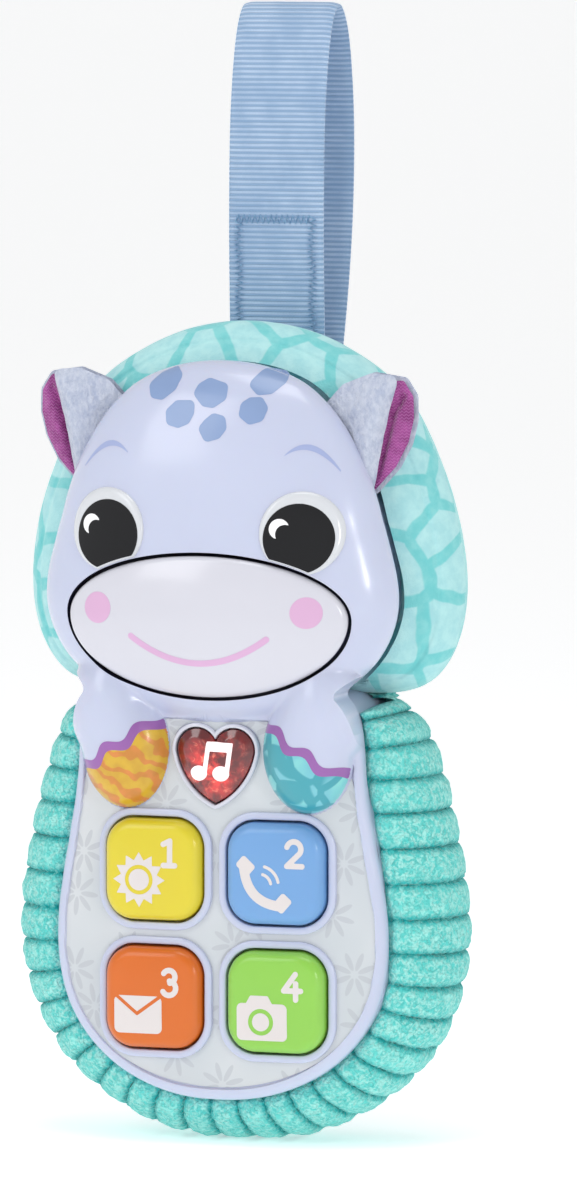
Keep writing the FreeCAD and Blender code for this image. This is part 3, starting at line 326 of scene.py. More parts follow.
def traced(field, area, step):
    """The field's shape on a square grid: its points (x, z), and the loops of them that fill it."""
    (x_low, z_low), (x_high, z_high) = area
    xs = np.arange(x_low, x_high + step, step)
    zs = np.arange(z_low, z_high + step, step)
    gx, gz = np.meshgrid(xs, zs, indexing="ij")
    value = field(gx, gz)
    value = np.where(np.abs(value) < step * 0.02, -step * 0.02, value)
    within = value < 0
    flat, loops, known = [], [], {}

    def point_at(a, b=None):
        key = a if b is None else (min(a, b), max(a, b))
        if key not in known:
            known[key] = len(flat)
            if b is None:
                flat.append((gx[a], gz[a]))
            else:
                share = value[a] / (value[a] - value[b])
                flat.append((gx[a] + (gx[b] - gx[a]) * share, gz[a] + (gz[b] - gz[a]) * share))
        return known[key]

    some = within[:-1, :-1] | within[1:, :-1] | within[:-1, 1:] | within[1:, 1:]
    for i, j in np.argwhere(some):
        i, j = int(i), int(j)
        corners = [(i, j), (i + 1, j), (i + 1, j + 1), (i, j + 1)]
        loop = []
        for a, b in zip(corners, corners[1:] + corners[:1]):
            if within[a]:
                loop.append(point_at(a))
            if within[a] != within[b]:
                loop.append(point_at(a, b))
        if len(loop) > 2:
            loops.append(loop)
    return np.array(flat), loops


def plate(name, field, area, surface, material, body, step=0.2, lift=0.05, sink=0.25, slot=None, node=None):
    """A thin closed plate of the field's shape on a surface y(x, z): lift is in front of it, sink behind."""
    flat, loops = traced(field, area, step)
    count = len(flat)
    x, z = flat.T
    y = surface(x, z)
    lifted = lift(x, z) if callable(lift) else lift
    top = np.stack([x, y - lifted, z], 1)
    under = np.stack([x, y + sink, z], 1)
    edges = {(a, b) for loop in loops for a, b in zip(loop, loop[1:] + loop[:1])}
    sides = [(b, a, a + count, b + count) for a, b in edges if (b, a) not in edges]
    faces = loops + [[k + count for k in reversed(loop)] for loop in loops] + sides
    return make_piece(name, np.vstack([top, under]), faces, material, body, node, slot, sharp=50.0)


def collar(field, x0, z0, gap, width, surface, rise, count=200, steps=9):
    """Points and faces of a rounded rim that stands round an opening."""
    angle = full_turn(count)
    rings = []
    turn = np.linspace(math.pi, 0, steps)
    profile = [(gap + width * (0.5 + 0.5 * math.cos(t)), rise * math.sin(t) ** 0.6 - 0.02) for t in turn]
    for out, up in profile:
        radius = reach(field, x0, z0, angle, -out)
        x, z = polar(x0, z0, radius, angle)
        rings.append(np.stack([x, surface(x, z) - up, z], 1))
    for out in (gap + width, gap):
        radius = reach(field, x0, z0, angle, -out)
        x, z = polar(x0, z0, radius, angle)
        rings.append(np.stack([x, surface(x, z) + 0.9, z], 1))
    rings = np.array(rings)
    return rings.reshape(-1, 3), grid_faces(len(rings), count, close_rows=True)


def joined(parts):
    """One set of points and faces from several."""
    points, faces, first = [], [], 0
    for part_points, part_faces in parts:
        points.append(part_points)
        faces += [tuple(k + first for k in face) for face in part_faces]
        first += len(part_points)
    return np.vstack(points), faces


def keep(piece, name, values):
    """A named number or vector on each point, for a material to read. Points past the list's end get zero."""
    values = np.asarray(values, np.float32)
    kind, part = ("FLOAT", "value") if values.ndim == 1 else ("FLOAT_VECTOR", "vector")
    full = np.zeros((len(piece.data.vertices),) + values.shape[1:], np.float32)
    full[:len(values)] = values
    piece.data.attributes.new(name, kind, "POINT").data.foreach_set(part, full.ravel())


# ------------------------------------------------------------------ material building

def tone(red, green, blue):
    """A display colour, 0 to 255, as linear values."""
    values = []
    for part in (red, green, blue):
        share = part / 255
        values.append(share / 12.92 if share <= 0.04045 else ((share + 0.055) / 1.055) ** 2.4)
    return (*values, 1.0)


class Finish:
    """A node material that is built up a step at a time around one Principled shader."""

    def __init__(self, name, colour, roughness=0.4, **inputs):
        self.material = bpy.data.materials.new(name)
        self.material.use_nodes = True
        self.tree = self.material.node_tree
        self.shader = self.tree.nodes["Principled BSDF"]
        self.height = None
        self.colour(colour)
        self.give(Roughness=roughness, **inputs)
        self.place = self.node("ShaderNodeTexCoord").outputs["Object"]

    def node(self, kind, **settings):
        made = self.tree.nodes.new(kind)
        for key, value in settings.items():
            setattr(made, key, value)
        return made

    def feed(self, target, value):
        if isinstance(value, bpy.types.NodeSocket):
            self.tree.links.new(value, target)
        else:
            target.default_value = value

    def math(self, operation, *values):
        made = self.node("ShaderNodeMath", operation=operation)
        for socket, value in zip(made.inputs, values):
            self.feed(socket, value)
        return made.outputs[0]

    def plus(self, first, second):
        return self.math("ADD", first, second)

    def minus(self, first, second):
        return self.math("SUBTRACT", first, second)

    def times(self, first, second):
        return self.math("MULTIPLY", first, second)

    def ramp(self, value, low, high, out_low=0.0, out_high=1.0):
        made = self.node("ShaderNodeMapRange", interpolation_type="SMOOTHSTEP")
        for key, number in (("Value", value), ("From Min", low), ("From Max", high),
                            ("To Min", out_low), ("To Max", out_high)):
            self.feed(made.inputs[key], number)
        return made.outputs[0]

    def mix(self, factor, first, second):
        made = self.node("ShaderNodeMix", data_type="RGBA", blend_type="MIX")
        self.feed(made.inputs["Factor"], factor)
        self.feed(made.inputs[6], first)
        self.feed(made.inputs[7], second)
        return made.outputs[2]

    def noise(self, size, detail=2.0, roughness=0.5, vector=None, distortion=0.0):
        """Noise with features about size millimetres across."""
        made = self.node("ShaderNodeTexNoise")
        self.feed(made.inputs["Vector"], self.place if vector is None else vector)
        made.inputs["Scale"].default_value = 1 / (size * MM)
        made.inputs["Detail"].default_value = detail
        made.inputs["Roughness"].default_value = roughness
        made.inputs["Distortion"].default_value = distortion
        return made.outputs["Fac"]

    def cells(self, size, feature="F1", vector=None, randomness=1.0):
        made = self.node("ShaderNodeTexVoronoi", feature=feature)
        self.feed(made.inputs["Vector"], self.place if vector is None else vector)
        made.inputs["Scale"].default_value = 1 / (size * MM)
        made.inputs["Randomness"].default_value = randomness
        return made.outputs["Distance"]

    def flat_cells(self, scale, randomness, vector, feature="F1"):
        """A cell pattern on the first two parts of a vector."""
        made = self.node("ShaderNodeTexVoronoi", feature=feature, voronoi_dimensions="2D")
        self.feed(made.inputs["Vector"], vector)
        made.inputs["Scale"].default_value = scale
        made.inputs["Randomness"].default_value = randomness
        return made.outputs

    def stretched(self, x, y, z, vector=None):
        made = self.node("ShaderNodeVectorMath", operation="MULTIPLY")
        self.feed(made.inputs[0], self.place if vector is None else vector)
        made.inputs[1].default_value = (x, y, z)
        return made.outputs[0]

    def attribute(self, name):
        made = self.node("ShaderNodeAttribute", attribute_name=name)
        return made.outputs["Fac"]

    def length(self, across, up):
        return self.math("SQRT", self.plus(self.times(across, across), self.times(up, up)))

    def parts(self, vector=None):
        made = self.node("ShaderNodeSeparateXYZ")
        self.feed(made.inputs[0], self.place if vector is None else vector)
        return made.outputs

    def give(self, **inputs):
        """Feeds inputs of the shader, named with _ for each space."""
        for key, value in inputs.items():
            self.feed(self.shader.inputs[key.replace("_", " ")], value)

    def colour(self, value):
        self.give(Base_Color=value)

    def bump(self, height, depth_mm, strength=1.0):
        """Adds a height, 0 to 1 for depth_mm, on top of any bump before it."""
        made = self.node("ShaderNodeBump")
        made.inputs["Strength"].default_value = strength
        made.inputs["Distance"].default_value = depth_mm * MM
        self.feed(made.inputs["Height"], height)
        if self.height is not None:
            self.feed(made.inputs["Normal"], self.height)
        self.height = made.outputs["Normal"]
        self.give(Normal=self.height)


def plastic(name, colour, roughness=0.28, coat=0.35, mottle=0.03, shine=0.5, **inputs):
    """Moulded plastic: a faint drift in colour, a fine skin, and gloss that varies."""
    finish = Finish(name, colour, roughness, Coat_Weight=coat, Coat_Roughness=0.12, Specular_IOR_Level=shine,
                    **inputs)
    drift = finish.ramp(finish.noise(14.0, 3.0), 0.3, 0.7, 1 - mottle, 1.0)
    value = finish.node("ShaderNodeHueSaturation")
    finish.feed(value.inputs["Value"], drift)
    value.inputs["Color"].default_value = colour
    finish.colour(value.outputs[0])
    rub = finish.ramp(finish.noise(7.0, 2.0, 0.5), 0.3, 0.7, roughness * 0.92, roughness * 1.12)
    finish.give(Roughness=rub)
    finish.bump(finish.noise(0.45, 2.0), 0.004)
    return finish


# ------------------------------------------------------------------ hard materials

LAVENDER = tone(198, 201, 224)
lavender = plastic("lavender_plastic", LAVENDER, 0.24, mottle=0.01, Subsurface_Weight=0.08).material
# painted shade: a dark material for walls deep in a gap, where only shade falls
gap_shade = plastic("gap_shadow", tone(38, 38, 66), 0.5, coat=0.0).material
pearl = plastic("pearl_snout", tone(208, 208, 218), 0.22, coat=0.5, mottle=0.01, Sheen_Weight=0.1).material
eye_white = plastic("eye_white", tone(212, 215, 220), 0.2, coat=0.5).material
eye_black = plastic("eye_black", tone(10, 11, 16), 0.1, coat=0.25, mottle=0.1, shine=0.22).material
KEY_COLOURS = {
    "1": tone(224, 204, 40),
    "2": tone(112, 162, 216),
    "3": tone(218, 104, 8),
    "4": tone(142, 204, 76),
}
key_plastics = {key: plastic("key_plastic_" + key, colour, 0.3, 0.25, Subsurface_Weight=0.06).material
                for key, colour in KEY_COLOURS.items()}
icon_print = plastic("icon_print", tone(222, 215, 214), 0.42, coat=0.1).material
spot_print = plastic("spot_print", tone(132, 156, 198), 0.32, mottle=0.06).material
brow_print = plastic("brow_print", tone(160, 172, 212), 0.32).material
cheek_print = plastic("cheek_print", tone(216, 172, 208), 0.32).material
smile_print = plastic("smile_print", tone(214, 170, 208), 0.32).material
cuff_print = plastic("cuff_print", tone(150, 92, 168), 0.3, mottle=0.12).material
glint_print = plastic("glint_print", tone(250, 250, 252), 0.2).material


def zebra_print():
    """Wavy streaks of orange on yellow."""
    finish = plastic("hand_zebra_print", tone(216, 168, 44), 0.3)
    bend = finish.noise(7.0, 2.0)
    x, _, z = finish.parts()
    slant = finish.plus(finish.times(x, 900.0), finish.times(z, 1500.0))
    wave = finish.math("SINE", finish.plus(slant, finish.times(bend, 22.0)))
    streak = finish.ramp(wave, 0.0, 0.5)
    soft = finish.ramp(finish.noise(3.0, 2.0), 0.35, 0.65)
    orange = finish.mix(soft, tone(216, 134, 56), tone(200, 128, 40))
    yellow = finish.mix(soft, tone(214, 172, 40), tone(204, 158, 36))
    finish.colour(finish.mix(streak, yellow, orange))
    return finish.material


def cobble_print():
    """Pale rounded patches between teal lines."""
    finish = plastic("hand_cobble_print", tone(70, 168, 178), 0.3)
    edge = finish.cells(5.6, "DISTANCE_TO_EDGE")
    patch = finish.ramp(edge, 0.09, 0.14)
    soft = finish.ramp(finish.noise(5.0, 2.0), 0.35, 0.65)
    pale = finish.mix(soft, tone(112, 190, 204), tone(128, 208, 206))
    finish.colour(finish.mix(patch, tone(58, 158, 172), pale))
    return finish.material


FLOWER_PITCH = 11.0
PETALS = 8
PETAL_OUT, PETAL_REACH, PETAL_HALF = 2.7, 1.9, 0.55


def flower_pattern(finish):
    """1 on the long petals of flowers strewn over x and z, 0 between them."""
    x, _, z = finish.parts()
    flat = finish.node("ShaderNodeCombineXYZ")
    finish.feed(flat.inputs[0], x)
    finish.feed(flat.inputs[1], z)
    flower = finish.flat_cells(1 / (FLOWER_PITCH * MM), 0.75, flat.outputs[0])
    away = finish.node("ShaderNodeVectorMath", operation="SUBTRACT")
    finish.feed(away.inputs[0], flat.outputs[0])
    finish.feed(away.inputs[1], flower["Position"])
    dx, dz, _ = finish.parts(away.outputs[0])
    far = finish.length(dx, dz)
    turn = finish.math("ARCTAN2", dz, dx)
    lean = finish.times(finish.parts(flower["Color"])[0], 6.0)
    petal_turn = 2 * math.pi / PETALS
    around = finish.math("FLOORED_MODULO", finish.plus(turn, lean), petal_turn)
    local = finish.minus(around, petal_turn / 2)
    along = finish.times(far, finish.math("COSINE", local))
    across = finish.times(far, finish.math("SINE", local))
    reach_share = finish.math("DIVIDE", finish.minus(along, PETAL_OUT * MM), PETAL_REACH * MM)
    width_share = finish.math("DIVIDE", across, PETAL_HALF * MM)
    oval = finish.plus(finish.times(reach_share, reach_share), finish.times(width_share, width_share))
    return finish.ramp(oval, 1.15, 0.85)


def film_print():
    """The pearl grey film with its pattern of faint long-petalled flowers."""
    finish = plastic("film_print", tone(216, 220, 226), 0.3, coat=0.3, mottle=0.015)
    faint = finish.times(flower_pattern(finish), 0.5)
    cloud = finish.ramp(finish.noise(22.0, 2.0), 0.35, 0.7)
    ground = finish.mix(cloud, tone(198, 204, 209), tone(208, 212, 216))
    finish.colour(finish.mix(faint, ground, tone(176, 180, 188)))
    return finish.material


def lit_heart():
    """Clear red plastic with a lamp behind, cloudy: painted glow makes its colour and emission bright in the
    middle, and painted shade makes it dark at the bevel.
    """
    finish = plastic("heart_gem", tone(196, 36, 40), 0.12, coat=1.0, mottle=0.1)
    centre = middle_of("heart_button") * MM
    x, _, z = finish.parts()
    dx = finish.minus(x, float(centre[0]))
    dz = finish.minus(z, float(centre[2]))
    far = finish.length(dx, dz)
    cloud = finish.ramp(finish.noise(4.2, 3.0, 0.6, distortion=0.4), 0.36, 0.62)
    # painted glow, fading from the middle out to the bevel, where the dark colour is painted shade
    glow = finish.ramp(far, 9.5 * MM, 2.0 * MM)
    light = finish.times(cloud, glow)
    # painted hot spots of lamp light within the glow
    painted_hot_spots = finish.ramp(finish.noise(1.6, 3.0, 0.7, distortion=1.2), 0.52, 0.68)
    body = finish.mix(light, tone(96, 14, 20), tone(222, 48, 46))
    finish.colour(finish.mix(finish.times(painted_hot_spots, light), body, tone(255, 150, 120)))
    # the emission is painted glow as well
    finish.give(Emission_Color=finish.mix(light, tone(60, 4, 8), tone(255, 70, 60)),
                Emission_Strength=finish.times(light, 0.35))
    return finish.material


def lit_note():
    # the printed note carries painted glow in its emission
    return plastic("note_print", tone(255, 236, 236), 0.3, Emission_Color=tone(255, 226, 224),
                   Emission_Strength=0.35).material


# ------------------------------------------------------------------ front housing

PARTING = node_box("rear_housing")[0][1]
HEAD_TOP = node_box("front_housing")[1][2]
PANEL_BOTTOM = node_box("front_housing")[0][2]
FACE_RISE = 4.3
PANEL_CROWN = 260.0
HEAD_RISE = 13.0
HEAD_MIDDLE = 112.0
HEAD_FULLNESS = 2.5
EDGE_ROUND = 1.8
RIM_WIDTH = 2.4
FILM_RECESS = 0.8
FILM_TOP = node_box("faceplate_film")[1][2]
SHELL_MIDDLE = 90.0
SHELL_WALL = 2.0

head_line = polar_field(HEAD_MIDDLE, [
    (0, HEAD_TOP), (10, 154.7), (17.7, 151.6), (23.6, 146.1), (27.9, 139.6), (31.0, 133.2), (33.4, 125.0),
    (35.3, 118.5), (36.7, 113.0), (37.0, 107.6), (35.6, 102.2), (32.6, 97.0), (27.0, 92.0), (19.0, 87.4),
    (10.0, 85.0), (0, 84.3)])
panel_line = polar_field(48.0, [
    (0, PANEL_BOTTOM), (8.0, 9.7), (14.9, 11.6), (22.2, 15.3), (28.4, 20.9), (32.4, 27.2), (34.5, 35.0),
    (34.8, 43.0), (33.8, 51.5), (32.3, 59.5), (30.8, 67.5), (29.8, 75.0), (29.7, 82.0), (28.7, 87.6),
    (24.5, 92.0), (14.0, 95.0), (0, 95.5)])
ARM_X, ARM_Z = 19.1, 79.0
ARM_WIDE, ARM_TALL = 9.4, 12.4
SHOULDER_X, SHOULDER_Z = 22.5, 87.0
SHOULDER_WIDE, SHOULDER_TALL = 8.6, 12.5
ARM_BASE, HAND_RISE, SHOULDER_RISE = 2.0, 7.9, 7.7


def head_height(x, z):
    """A full dome over the head's outline."""
    far = np.hypot(x, z - HEAD_MIDDLE)
    ratio = far / (far - head_line(x, z))
    inside = HEAD_RISE * np.sqrt(np.clip(1 - np.clip(ratio, 0, 1) ** HEAD_FULLNESS, 0, 1))
    return np.where(ratio < 1, inside, (1 - ratio) * 60)


def panel_height(x, z):
    depth = -panel_line(x, z)
    crest = FACE_RISE - x ** 2 / (2 * PANEL_CROWN)
    part = np.clip(EDGE_ROUND - depth, 0, EDGE_ROUND)
    rounded = crest - EDGE_ROUND + np.sqrt(EDGE_ROUND ** 2 - part ** 2)
    inside = smooth_step(depth, RIM_WIDTH - 0.25, RIM_WIDTH) * smooth_step(FILM_TOP + 0.3 - z, 0, 0.25)
    return np.where(depth > 0, rounded - FILM_RECESS * inside, 4 * depth)


def arm_height(x, z):
    """Two overlapping domes on each side: the hand and the shoulder."""
    side = np.abs(x)
    hand = 1 - ((side - ARM_X) / ARM_WIDE) ** 2 - ((z - ARM_Z) / ARM_TALL) ** 2
    shoulder = 1 - ((side - SHOULDER_X) / SHOULDER_WIDE) ** 2 - ((z - SHOULDER_Z) / SHOULDER_TALL) ** 2
    raised = [ARM_BASE + depth * np.sqrt(np.clip(part, 0, 1)) + 40 * np.minimum(part, 0)
              for part, depth in ((hand, HAND_RISE), (shoulder, SHOULDER_RISE))]
    return soft_max(*raised, 1.6)


def housing_height(x, z):
    """How far the front housing stands out from the parting plane."""
    body = soft_max(panel_height(x, z), arm_height(x, z), 0.5)
    return np.maximum(soft_max(head_height(x, z), body, 1.3), 0.0)


def housing_face(x, z):
    return PARTING - housing_height(x, z)


def crown_face(x, z):
    """The panel's plain crowned face, without rim, recess or arms."""
    return PARTING - FACE_RISE + x ** 2 / (2 * PANEL_CROWN)


# the openings: four keys, the heart and the snout
SNOUT_GAP = 0.7
SNOUT_FLANGE = 2.1
FLANGE_THICKNESS = 1.1
SNOUT_DROP = 16.0
snout_low, snout_high = node_box("snout_button")
SNOUT_LEVEL = snout_low[2] + SNOUT_DROP + SNOUT_FLANGE
snout_line = egg_field(29.2, 12.2, SNOUT_DROP, SNOUT_LEVEL)
KEY_HALF = 10.2
KEY_CORNER = 5.8
KEY_GAP = 0.38
key_centres = {key: middle_of("number_button_" + key) for key in KEY_COLOURS}
HEART_WIDE = 8.05
HEART_TIP = 7.4
HEART_LEVEL = 75.7
LIGHT_WELL = 2.6
HEART_ROOF = 1.8


def heart_points(z0):
    """Two round lobes and two bowed sides that meet in the point."""
    notch, lobe, side = (0, 4.7), (0.52 * HEART_WIDE, HEART_TIP), (HEART_WIDE, 2.9)
    flank, tip = (0.74 * HEART_WIDE, -2.3), (0, -HEART_TIP)
    right = arc_through(notch, lobe, side) + arc_through(side, flank, tip)
    left = [(-x, z) for x, z in right[:0:-1]]
    return [(x, z + z0) for x, z in right + [tip] + left]


heart_line = polygon_field(heart_points(HEART_LEVEL))


def key_line(key):
    centre = key_centres[key]
    return box_field(centre[0], centre[2], KEY_HALF, KEY_HALF, KEY_CORNER)


def opening_cutter():
    """One mesh of every opening through the front housing."""
    parts = []
    openings = [(grown(key_line(key), KEY_GAP), centre[0], centre[2]) for key, centre in key_centres.items()]
    openings.append((grown(heart_line, 0.3), 0.0, HEART_LEVEL))
    openings.append((grown(snout_line, SNOUT_GAP), 0.0, SNOUT_LEVEL))
    angle = full_turn(220)
    for field, x0, z0 in openings:
        radius = reach(field, x0, z0, angle)
        x, z = polar(x0, z0, radius, angle)
        rings = [np.stack([x, np.full(len(x), y), z], 1) for y in (PARTING + 3, PARTING - 30)]
        parts.append(loft(rings))
    points, faces = joined(parts)
    return make_piece("opening_cutter", points, faces, gap_shade, None)


def housing_shell(count=640):
    """The front housing as a closed shell: the face, its edge and the inner side a wall's thickness behind."""
    angle = full_turn(count)
    both = union(head_line, panel_line)
    radius = soften_notch(reach(both, 0.0, SHELL_MIDDLE, angle))
    edge_steps = np.array([0, 0.04, 0.12, 0.25, 0.42, 0.62, 0.85, 1.1, 1.4, 1.7, 2.0, 2.15, 2.28, 2.4, 2.55,
                           2.8, 3.2, 3.7])
    inner = np.linspace(0, 1, 96)[1:-1]

    def ring_at(distance, depth):
        x, z = polar(0.0, SHELL_MIDDLE, distance, angle)
        height = housing_height(x, z)
        return np.stack([x, PARTING - depth(height), z], 1)

    def front(height):
        return height

    def back(height):
        return np.maximum(height - SHELL_WALL, 0.0)

    def flush(height):
        return 0 * height

    rings = [ring_at(radius * share, back) for share in np.linspace(0.02, 1, 30)[:-1] * 0.93]
    rings += [ring_at(radius - inset, flush) for inset in (SHELL_WALL, 0.02)]
    rings += [ring_at(radius - step, front) for step in edge_steps]
    rings += [ring_at((radius - edge_steps[-1]) * (1 - share), front) for share in inner]
    return loft(np.array(rings))


def soften_notch(radius, spread=5):
    """Rounds the inside corner where the head meets the shoulders."""
    kernel = np.ones(2 * spread + 1) / (2 * spread + 1)
    wide = np.concatenate([radius[-spread:], radius, radius[:spread]])
    smoothed = np.convolve(wide, kernel, mode="valid")
    return np.where(smoothed > radius, smoothed, radius)


def carve(piece, cutter):
    """Cuts one closed mesh out of another and removes it."""
    boolean = piece.modifiers.new("openings", "BOOLEAN")
    boolean.operation = "DIFFERENCE"
    boolean.solver = "MANIFOLD"
    boolean.object = cutter
    applied(piece)
    bpy.data.objects.remove(cutter)


def make_front_housing():
    points, faces = housing_shell()
    shell = make_piece("front_housing_shell", points, faces, lavender, None)
    carve(shell, opening_cutter())
    cover(shell.data, lavender, gap_shade)
    darken_snout_wall(shell)
    shade(shell, 38)
    settle(shell, "phone", "front_housing", "casing")
    rims = [collar(key_line(key), centre[0], centre[2], KEY_GAP, 1.5, crown_face, 0.55)
            for key, centre in key_centres.items()]
    points, faces = joined(rims)
    make_piece("key_collars", points, faces, lavender, "phone", slot="casing")
    points, faces = collar(heart_line, 0.0, HEART_LEVEL, 0.3, 0.85, crown_face, 0.5)
    make_piece("heart_rim", points, faces, heart_rim_finish(), "phone", slot="casing")


def heart_rim_finish():
    return plastic("heart_rim_plastic", tone(206, 208, 220), 0.12, coat=1.0).material


def applied(piece):
    """Replaces a piece's mesh with what its modifiers make."""
    graph = bpy.context.evaluated_depsgraph_get()
    mesh = bpy.data.meshes.new_from_object(piece.evaluated_get(graph))
    piece.modifiers.clear()
    piece.data = mesh
    return piece


def darken_snout_wall(shell):
    """The walls of the snout's opening are in deep shadow: they take the dark material."""
    wall = grown(snout_line, SNOUT_GAP)
    for face in shell.data.polygons:
        centre = np.array(face.center) / MM
        near = abs(float(wall(centre[0], centre[2]))) < 0.12
        face.material_index = int(near and abs(face.normal.y) < 0.3)


# ------------------------------------------------------------------ face

EYE_LIFT = 0.75
EYE_X, EYE_Z = 20.35, 122.7
EYE_RADIUS = 8.25
EYE_ROUND = 1.2
PUPIL_X, PUPIL_Z = 20.05, 121.7
PUPIL_RADIUS = 6.9
PUPIL_LIFT = 0.07
# a disc less another, each as (distance from the pupil's middle, z, radius)
GLINT = (-3.7, 123.6, 2.0)
GLINT_BITE = (-2.55, 122.55, 1.9)
SNOUT_DOME = 35.7
SNOUT_DOME_UP = 25.4
SNOUT_DOME_DOWN = 20.0
SNOUT_CROWN = 15.5
SNOUT_EDGE = 0.95
CHEEK_X, CHEEK_Z = 21.9, 107.2
CHEEK_RADIUS = 3.1
CHEEK_REACH = 4.0
PRINT_LIFT = 0.05


def snout_face(x, z):
    """The snout's dome."""
    up = np.where(z > SNOUT_LEVEL, SNOUT_DOME_UP, SNOUT_DOME_DOWN)
    part = 1 - (x / SNOUT_DOME) ** 2 - ((z - SNOUT_LEVEL) / up) ** 2
    return PARTING - SNOUT_CROWN * np.sqrt(np.clip(part, 0.02, 1))


def eye_bulge(white):
    """How far an eye stands out of the face: rounded at the edge of its white."""
    def bulge(x, z):
        inset = np.clip(-white(x, z), 0, EYE_ROUND) / EYE_ROUND
        return EYE_LIFT * np.sqrt(np.clip(1 - (1 - inset) ** 2, 0, 1))
    return bulge


def make_eyes():
    """White discs that stand proud of the head, black pupils and a crescent of light in each."""
    clear_of_snout = outside(snout_line, SNOUT_GAP + 0.15)
    pupil_clear = outside(snout_line, SNOUT_GAP + 0.6)

    def ball(x, z):
        return housing_face(x, z) - EYE_LIFT

    def on_pupil(x, z):
        return ball(x, z) - PUPIL_LIFT

    for side, name in ((-1, "left"), (1, "right")):
        x0, pupil_x = side * EYE_X, side * PUPIL_X
        white = overlap(disc_field(x0, EYE_Z, EYE_RADIUS), clear_of_snout)
        area = ((x0 - 9, EYE_Z - 9), (x0 + 9, EYE_Z + 9))
        plate("eye_white_" + name, white, area, housing_face, eye_white, "phone", 0.22, eye_bulge(white), 0.5,
              "eye", "eye_" + name)
        black = overlap(disc_field(pupil_x, PUPIL_Z, PUPIL_RADIUS), pupil_clear)
        plate("pupil_" + name, black, area, ball, eye_black, "phone", 0.2, PUPIL_LIFT, 0.3, "eye")
        glint, bite = [disc_field(pupil_x + x, z, radius) for x, z, radius in (GLINT, GLINT_BITE)]
        crescent = overlap(glint, outside(bite))
        plate("eye_glint_" + name, crescent, area, on_pupil, glint_print, "phone", 0.15, PRINT_LIFT, 0.05,
              "eye")


# each spot: its middle, then its corners from there
SPOTS = {
    (-10.2, 151.4): [(2.0, 3.2), (3.3, 2.1), (2.5, -0.7), (-0.2, -3.1), (-2.4, -2.8), (-3.3, -0.7), (-1.3, 1.6)],
    (0.2, 149.7): [(-1.1, 2.7), (3.2, 1.4), (3.3, -0.8), (1.0, -2.5), (-1.1, -2.2), (-3.4, 0.25), (-2.9, 1.5)],
    (11.2, 152.1): [(-1.5, 2.0), (2.4, 1.3), (3.2, 0.3), (1.2, -1.9), (-1.5, -2.2), (-3.2, -0.6)],
    (-5.7, 145.7): [(2.5, 2.2), (2.65, 0.4), (1.8, -1.6), (-0.2, -2.5), (-2.4, -1.9), (-2.8, 0.2), (-1.0, 2.1)],
    (9.4, 146.5): [(-1.0, 2.1), (1.2, 2.2), (2.4, 0.5), (1.8, -1.6), (-0.4, -2.3), (-2.3, -0.8), (-2.2, 1.2)],
    (1.55, 143.1): [(0.1, 2.4), (2.0, 1.9), (2.4, 0.1), (1.2, -1.7), (-1.2, -2.4), (-2.4, -0.4), (-1.5, 0.9)],
}
SPOT_ROUNDING = 1.25
SPOT_DRAW_IN = (0.66, 0.62)


def make_head_prints():
    """The rounded spots on the brow, and the two eyebrows."""
    for number, ((x0, z0), corners) in enumerate(SPOTS.items(), start=1):
        drawn_in = [(x0 + x * SPOT_DRAW_IN[0], z0 + z * SPOT_DRAW_IN[1]) for x, z in corners]
        area = ((x0 - 4.5, z0 - 4.5), (x0 + 4.5, z0 + 4.5))
        plate("forehead_spot_%d" % number, polygon_field(drawn_in, SPOT_ROUNDING), area, housing_face,
              spot_print, "phone", 0.2, PRINT_LIFT, 0.2, "casing")
    brow = bent((16.4, 137.8), (21.2, 142.4), (26.9, 134.8), 18)
    thick = [1.15 * math.sin(math.pi * (k + 0.25) / 18.5) ** 0.8 for k in range(18)]
    upper = [(x, z + t / 2) for (x, z), t in zip(brow, thick)]
    lower = [(x, z - t / 2) for (x, z), t in zip(brow, thick)]
    right = polygon_field(upper + lower[::-1])
    for name, field, side in (("left", mirrored(right), -1), ("right", right, 1)):
        x_low, x_high = sorted((side * 15.5, side * 28.0))
        plate("brow_" + name, field, ((x_low, 133.5), (x_high, 141.5)), housing_face, brow_print, "phone",
              0.13, PRINT_LIFT, 0.2, "casing")


def make_snout():
    """The pillow-like snout that is one big button, with its cheeks and smile printed on it."""
    flange_back, flange_front = snout_high[1], snout_high[1] - FLANGE_THICKNESS
    levels = [(-SNOUT_FLANGE, flange_back, False), (-SNOUT_FLANGE, flange_front, False),
              (0.0, flange_front, False)]
    levels += rounded_edge(SNOUT_EDGE, 7)
    points, faces = ring_form(snout_line, 0.0, SNOUT_LEVEL, levels, snout_face, 320, 44)
    snout = make_piece("snout", points, faces, pearl, "snout", "snout_button", "snout")
    # the snout's side walls behind its rounded edge take the painted gap shade
    snout.data.materials.append(gap_shade)
    for face in snout.data.polygons:
        centre = np.array(face.center) / MM
        behind = centre[1] - float(snout_face(centre[0], centre[2]))
        face.material_index = int(behind > SNOUT_EDGE)
    for side, name in ((-1, "left"), (1, "right")):
        x0 = side * CHEEK_X
        area = ((x0 - CHEEK_REACH, CHEEK_Z - CHEEK_REACH), (x0 + CHEEK_REACH, CHEEK_Z + CHEEK_REACH))
        cheek = disc_field(x0, CHEEK_Z, CHEEK_RADIUS)
        plate("cheek_" + name, cheek, area, snout_face, cheek_print, "snout", 0.2, PRINT_LIFT, 0.3, "snout")
    smile = stroke_field(bent((-14.2, 101.9), (0.0, 91.7), (14.2, 101.9), 30), 1.25)
    plate("smile", smile, ((-16, 95.0), (16, 104.0)), snout_face, smile_print, "snout", 0.2, PRINT_LIFT, 0.3,
          "snout")


# ------------------------------------------------------------------ arms, heart and keys

CUFF_LEAN = math.radians(-32)
CUFF_X, CUFF_Z = 19.6, 79.3
CUFF_WAVE = 7.6
CUFF_SWING = 0.85
CUFF_HALF = 1.0


